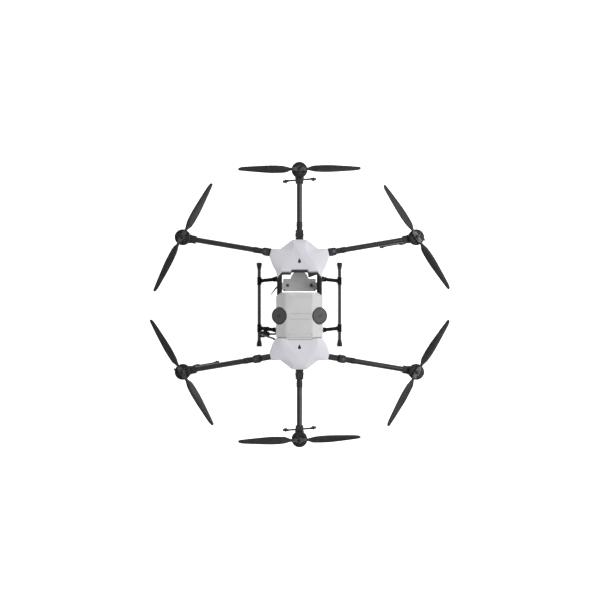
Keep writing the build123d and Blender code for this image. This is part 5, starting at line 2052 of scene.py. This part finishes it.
for side in (-1, 1):
    make_skid(side)
    for fore in (-1, 1):
        make_leg(side, fore)
print("landing gear done,", len(made), "pieces")

# %% [markdown]
# ## The battery tray
# A folded sheet hangs between the rails with a half-round tab in front. Its edge is rounded, a
# shallow bend runs across it, and soft pads and screws hold the battery's guides.


# %% Tray
def make_tray():
    """The sheet and tab in one outline, two side plates, pads and screws."""
    sheet_z, pad_x, pad_y = 372, 75.5, 122
    outline = arc(100, 88, 4, -90, 0, 4) + arc(100, 161, 4, 0, 90, 4)
    outline += [(60, 165), (56.8, 166.5), (56, 170)]
    tab = arc(0, 159, 56, 12, 168, 30)
    left = [(-56, 170), (-56.8, 166.5), (-60, 165)]
    left += arc(-100, 161, 4, 90, 180, 4) + arc(-100, 88, 4, 180, 270, 4)
    bm = bmesh.new()
    slab(bm, outline + tab + left, sheet_z, sheet_z + 2)
    soften(bm, 0.35 * MM)
    for y, height, wide in ((100, 0.7, 4), (113, 0.5, 3)):
        ridge = [(-99, y - wide / 2), (99, y - wide / 2), (99, y + wide / 2), (-99, y + wide / 2)]
        slab(bm, ridge, sheet_z + 1.9, sheet_z + 2 + height)
    for side in (-1, 1):
        wall = [(102, 92), (104, 92), (104, 138), (102, 138)]
        wall = [(side * x, y) for x, y in wall]
        slab(bm, wall, sheet_z + 1, 478)
        hook = [(side * x, y) for x, y in ((102, 92), (138, 92), (138, 138), (102, 138))]
        slab(bm, hook, 478, 483.5)
    piece = finish_piece(bm, "tray_sheet_metal", "frame", tray_skin)
    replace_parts(piece, "battery_tray")
    bm = bmesh.new()
    for x in (-pad_x, pad_x):
        pad = [(0, 373.5), (10.5, 373.5), (10.5, 375.2), (9.7, 376), (0, 376)]
        spin(bm, mm(pad), Matrix.Translation(at_mm(x, pad_y, 0)), 28)
    for x in (-96, 96):
        place = Matrix.Translation(at_mm(x, 92, 0))
        spin(bm, mm([(0, 366), (5, 366), (6, 367), (6, 372.4), (0, 372.4)]), place, 28)
        spin(bm, mm([(0, 373.5), (5.2, 373.5), (5.2, 375), (4.6, 375.6), (0, 375.6)]), place, 28)
    finish_piece(bm, "tray_pads", "frame", pad_skin)
    for x in (-pad_x, pad_x):
        screw("frame", at_mm(x, pad_y, 375.9), (0, 0, 1), 1.2)
    for side in (-1, 1):
        for y in (100, 130):
            screw("frame", at_mm(side * 104, y, 470), (side, 0, 0), 0.9)
            screw("frame", at_mm(side * 131, y, 478), (0, 0, -1), 0.9)
            screw("frame", at_mm(side * 97, y + 18 if y > 110 else y + 10, 374), (0, 0, 1), 0.7)


make_tray()

# %% [markdown]
# ## Pump and hoses
# The pump hangs on the rear left leg: a motor can with cooling ribs, a head with four screws and
# a hose at each port. The tank's plug drops into a dock, so the tank lifts out in one move.


# %% Pump
pump_y, pump_z, pump_inlet_z = -195, 200, 175


def port_frame(spot, way):
    """Origin at a port in millimetres, with z pointing out of it."""
    z = Vector(way)
    y = Vector((0, 1, 0))
    return Matrix.Translation(at_mm(*spot)) @ Matrix((y.cross(z), y, z)).transposed().to_4x4()


def make_pump():
    """Motor, head, ports and the clamp on the leg."""
    motor = axis_place(Matrix.Translation(at_mm(-228, pump_y, pump_z)), 0)
    bm = bmesh.new()
    can = [(0, -1), (17, -1), (17, 22), (16.4, 23), (16.4, 25), (17, 26), (17, 28.6), (15.6, 30), (0, 30)]
    spin(bm, mm(can), motor, 48)
    piece = finish_piece(bm, "pump_motor", "frame", anodised)
    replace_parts(piece, "pump")
    ring_of(
        "pump_motor_ribs", "frame", anodised, motor, "pump_plastic",
        Count=26, Radius=16.6 * MM, Height=11 * MM, Block_size=(0.0018, 0.019, 0.0014),
    )
    bm = bmesh.new()
    along = Matrix.Translation(at_mm(-256, pump_y, pump_z)) @ lengthwise
    for x0, x1, by in ((0, 9, 0), (9, 12, 1.5), (12, 28, 0)):
        shape = rounded_box_outline(-21 + by, 21 - by, -24 + by, 24 - by, 6)
        slab(bm, shape, x0, x1, along)
    soften(bm, 0.7 * MM)
    brick(bm, at_mm(-212, -204, 165), at_mm(-198.2, -186, 190))
    for spot, way in (((-242, pump_y, 223), (0, 0, 1)), ((-199, pump_y, pump_inlet_z), (1, 0, 0))):
        nut = port_frame(spot, way)
        spin(bm, mm([(0, 0), (9.4, 0), (9.4, 5), (8, 6), (8, 7), (0, 7)]), nut, 6)
    foot = leg_spot(-1, -1, 0.57)
    brick(bm, foot + Vector((-0.0175, -0.0145, -0.011)), foot + Vector((0.0175, 0.0145, 0.011)))
    brick(bm, (foot.x - 0.015, -0.180, foot.z - 0.010), (foot.x + 0.008, -0.172, foot.z + 0.010))
    finish_piece(bm, "pump_head", "frame", nylon)
    for y in (-15, 15):
        for z in (-18, 18):
            screw("frame", at_mm(-256, pump_y + y, pump_z + z), (-1, 0, 0), 1.0)


make_pump()


# %% Hoses, dock and strap
def make_plumbing():
    """Two hoses along their routes, the dock cup and its strap."""
    routes = {
        "supply": [
            (-60, -150, 278), (-60, -150, 205), (-150, pump_y, pump_inlet_z), (-192, pump_y, pump_inlet_z),
        ],
        "feed": [(-242, pump_y, 230), (-242, pump_y, 300), (-158, -216, 420), (-158, -216, 500)],
    }
    for name, route in routes.items():
        bm = bmesh.new()
        sweep_round(bm, smooth_path(mm(route), 0.42, 12), 6 * MM, 20)
        piece = finish_piece(bm, "hose_" + name, "frame", hose_skin)
        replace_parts(piece, "spray_plumbing")
    bm = bmesh.new()
    for spot, way in (
        ((-60, -150, 262), (0, 0, -1)), ((-180, pump_y, pump_inlet_z), (-1, 0, 0)),
        ((-242, pump_y, 238), (0, 0, 1)),
    ):
        spin(bm, mm([(6.1, 0), (7.2, 0), (7.2, 6), (6.1, 6)]), port_frame(spot, way), 28, ring=True)
    finish_piece(bm, "hose_clips", "frame", steel)
    bm = bmesh.new()
    cup = [
        (0, 276), (16, 276), (18, 278), (18, 286), (17, 287), (17, 300), (18, 301), (18, 310),
        (17, 311), (13.2, 311), (13.2, 289), (0, 289),
    ]
    spin(bm, mm(cup), outlet, 44)
    strap = [(-109, -160), (-74, -160), (-74, -140), (-109, -140)]
    slab(bm, strap, 276, 280)
    slab(bm, [(-109, -160), (-106, -160), (-106, -140), (-109, -140)], 276, 443)
    slab(bm, [(-112, -160), (-106, -160), (-106, -140), (-112, -140)], 442, 472)
    finish_piece(bm, "outlet_dock", "frame", nylon)
    for z in (450, 465):
        screw("frame", at_mm(-106, -150, z), (1, 0, 0), 0.9)


make_plumbing()

# %% [markdown]
# ## Aerials
# Two thin aerials stand out beside the rails: a flexible whip with a swelling at its root on the
# left, and a fine wire on the right.


# %% Aerials
def whip(name, route, radii):
    """A tapered aerial along a few points."""
    bm = bmesh.new()
    sweep_round(bm, mm(route), [r * MM for r in radii], 14)
    piece = finish_piece(bm, name, "frame", rubber)
    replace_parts(piece, "antennas")


whip(
    "aerial_left",
    [
        (-134, 113.5, 506), (-146, 102, 500), (-147, 101, 499.3), (-153, 94, 494), (-178, 62, 470),
        (-178.4, 61.5, 469.6),
    ],
    [5, 5, 4.4, 4.2, 2.2, 1.2],
)
whip(
    "aerial_right",
    [
        (137, 149, 508), (150, 158, 505), (151, 158.8, 504.6), (166, 172, 500), (181, 186, 495),
        (181.3, 186.3, 494.9),
    ],
    [3, 3, 2.4, 2.0, 1.6, 1.0],
)
print("tray, pump, hoses and aerials done,", len(made), "pieces")

# %% The screws noted so far become one mesh for each body
place_screws()
print()

# %% [markdown]
# ## Light, floor and camera
# The machine stands on a white floor under a large soft light. The camera looks straight down
# from above, far enough away that the sides of the hub hardly show.


# %% Floor
def lamp(name, place, aim, size, power):
    """A square area light that points at `aim`."""
    light = bpy.data.lights.new(name, "AREA")
    light.energy, light.size = power, size
    holder = bpy.data.objects.new(name, light)
    holder.location = place
    holder.rotation_euler = (Vector(aim) - Vector(place)).to_track_quat("-Z", "Y").to_euler()
    bpy.context.scene.collection.objects.link(holder)


floor_half, floor_thick, floor_glow = 40, 0.02, 0.8
floor_skin = bpy.data.materials.new("pale_floor")
floor_skin.use_nodes = True
floor_tree = floor_skin.node_tree
floor_shader = floor_tree.nodes["Principled BSDF"]
floor_shader.inputs["Roughness"].default_value = 0.9
floor_shader.inputs["Specular IOR Level"].default_value = 0.1
floor_shader.inputs["Emission Color"].default_value = (1, 1, 1, 1)
floor_shader.inputs["Emission Strength"].default_value = floor_glow
cloud = noise(floor_tree, floor_tree.nodes.new("ShaderNodeTexCoord").outputs["Object"], 3.0)
tone = blend_colour(floor_tree, cloud, (0.90, 0.90, 0.90), (0.92, 0.92, 0.92))
floor_tree.links.new(tone, floor_shader.inputs["Base Color"])
bm = bmesh.new()
brick(bm, (-floor_half, -floor_half, -floor_thick), (floor_half, floor_half, 0.0))
floor_mesh = bpy.data.meshes.new("floor")
bm.to_mesh(floor_mesh)
bm.free()
floor_mesh.materials.append(floor_skin)
floor = bpy.data.objects.new("floor", floor_mesh)
bpy.context.scene.collection.objects.link(floor)
floor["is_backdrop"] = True

# %% Light
sky_strength = 0.4
key_place, key_aim = (4.2, 0.7, 6.1), (0, 0, 0.5)
key_size, key_power = 6.5, 425
world = bpy.data.worlds.new("studio")
bpy.context.scene.world = world
world.use_nodes = True
world.node_tree.nodes["Background"].inputs["Color"].default_value = (1, 1, 1, 1)
world.node_tree.nodes["Background"].inputs["Strength"].default_value = sky_strength
lamp("key", key_place, key_aim, key_size, key_power)
bpy.context.scene.view_settings.view_transform = "Standard"

# %% Camera
camera_height, focal_length, sensor_width = 5.680, 50, 36
lens = bpy.data.cameras.new("overhead")
lens.lens, lens.sensor_width = focal_length, sensor_width
lens.shift_x, lens.shift_y = 0.0009, 0.0076
camera = bpy.data.objects.new("overhead", lens)
camera.location = (0, 0, camera_height)
bpy.context.scene.collection.objects.link(camera)
bpy.context.scene.camera = camera

# %% [markdown]
# ## Sizes and counts
# The engineering model's box and the dressed model's box are printed, with the count of pieces
# and faces.

# %% Print the sizes and counts
seen_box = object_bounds()
boxes = {"cad": cad_box, "visual": seen_box}
{name: [list(corner) for corner in box] for name, box in boxes.items()}
print("engineering box", cad_box)
print("dressed box", seen_box)
faces = sum(len(piece.data.polygons) for piece in made)
print(len(made), "pieces,", faces, "faces")
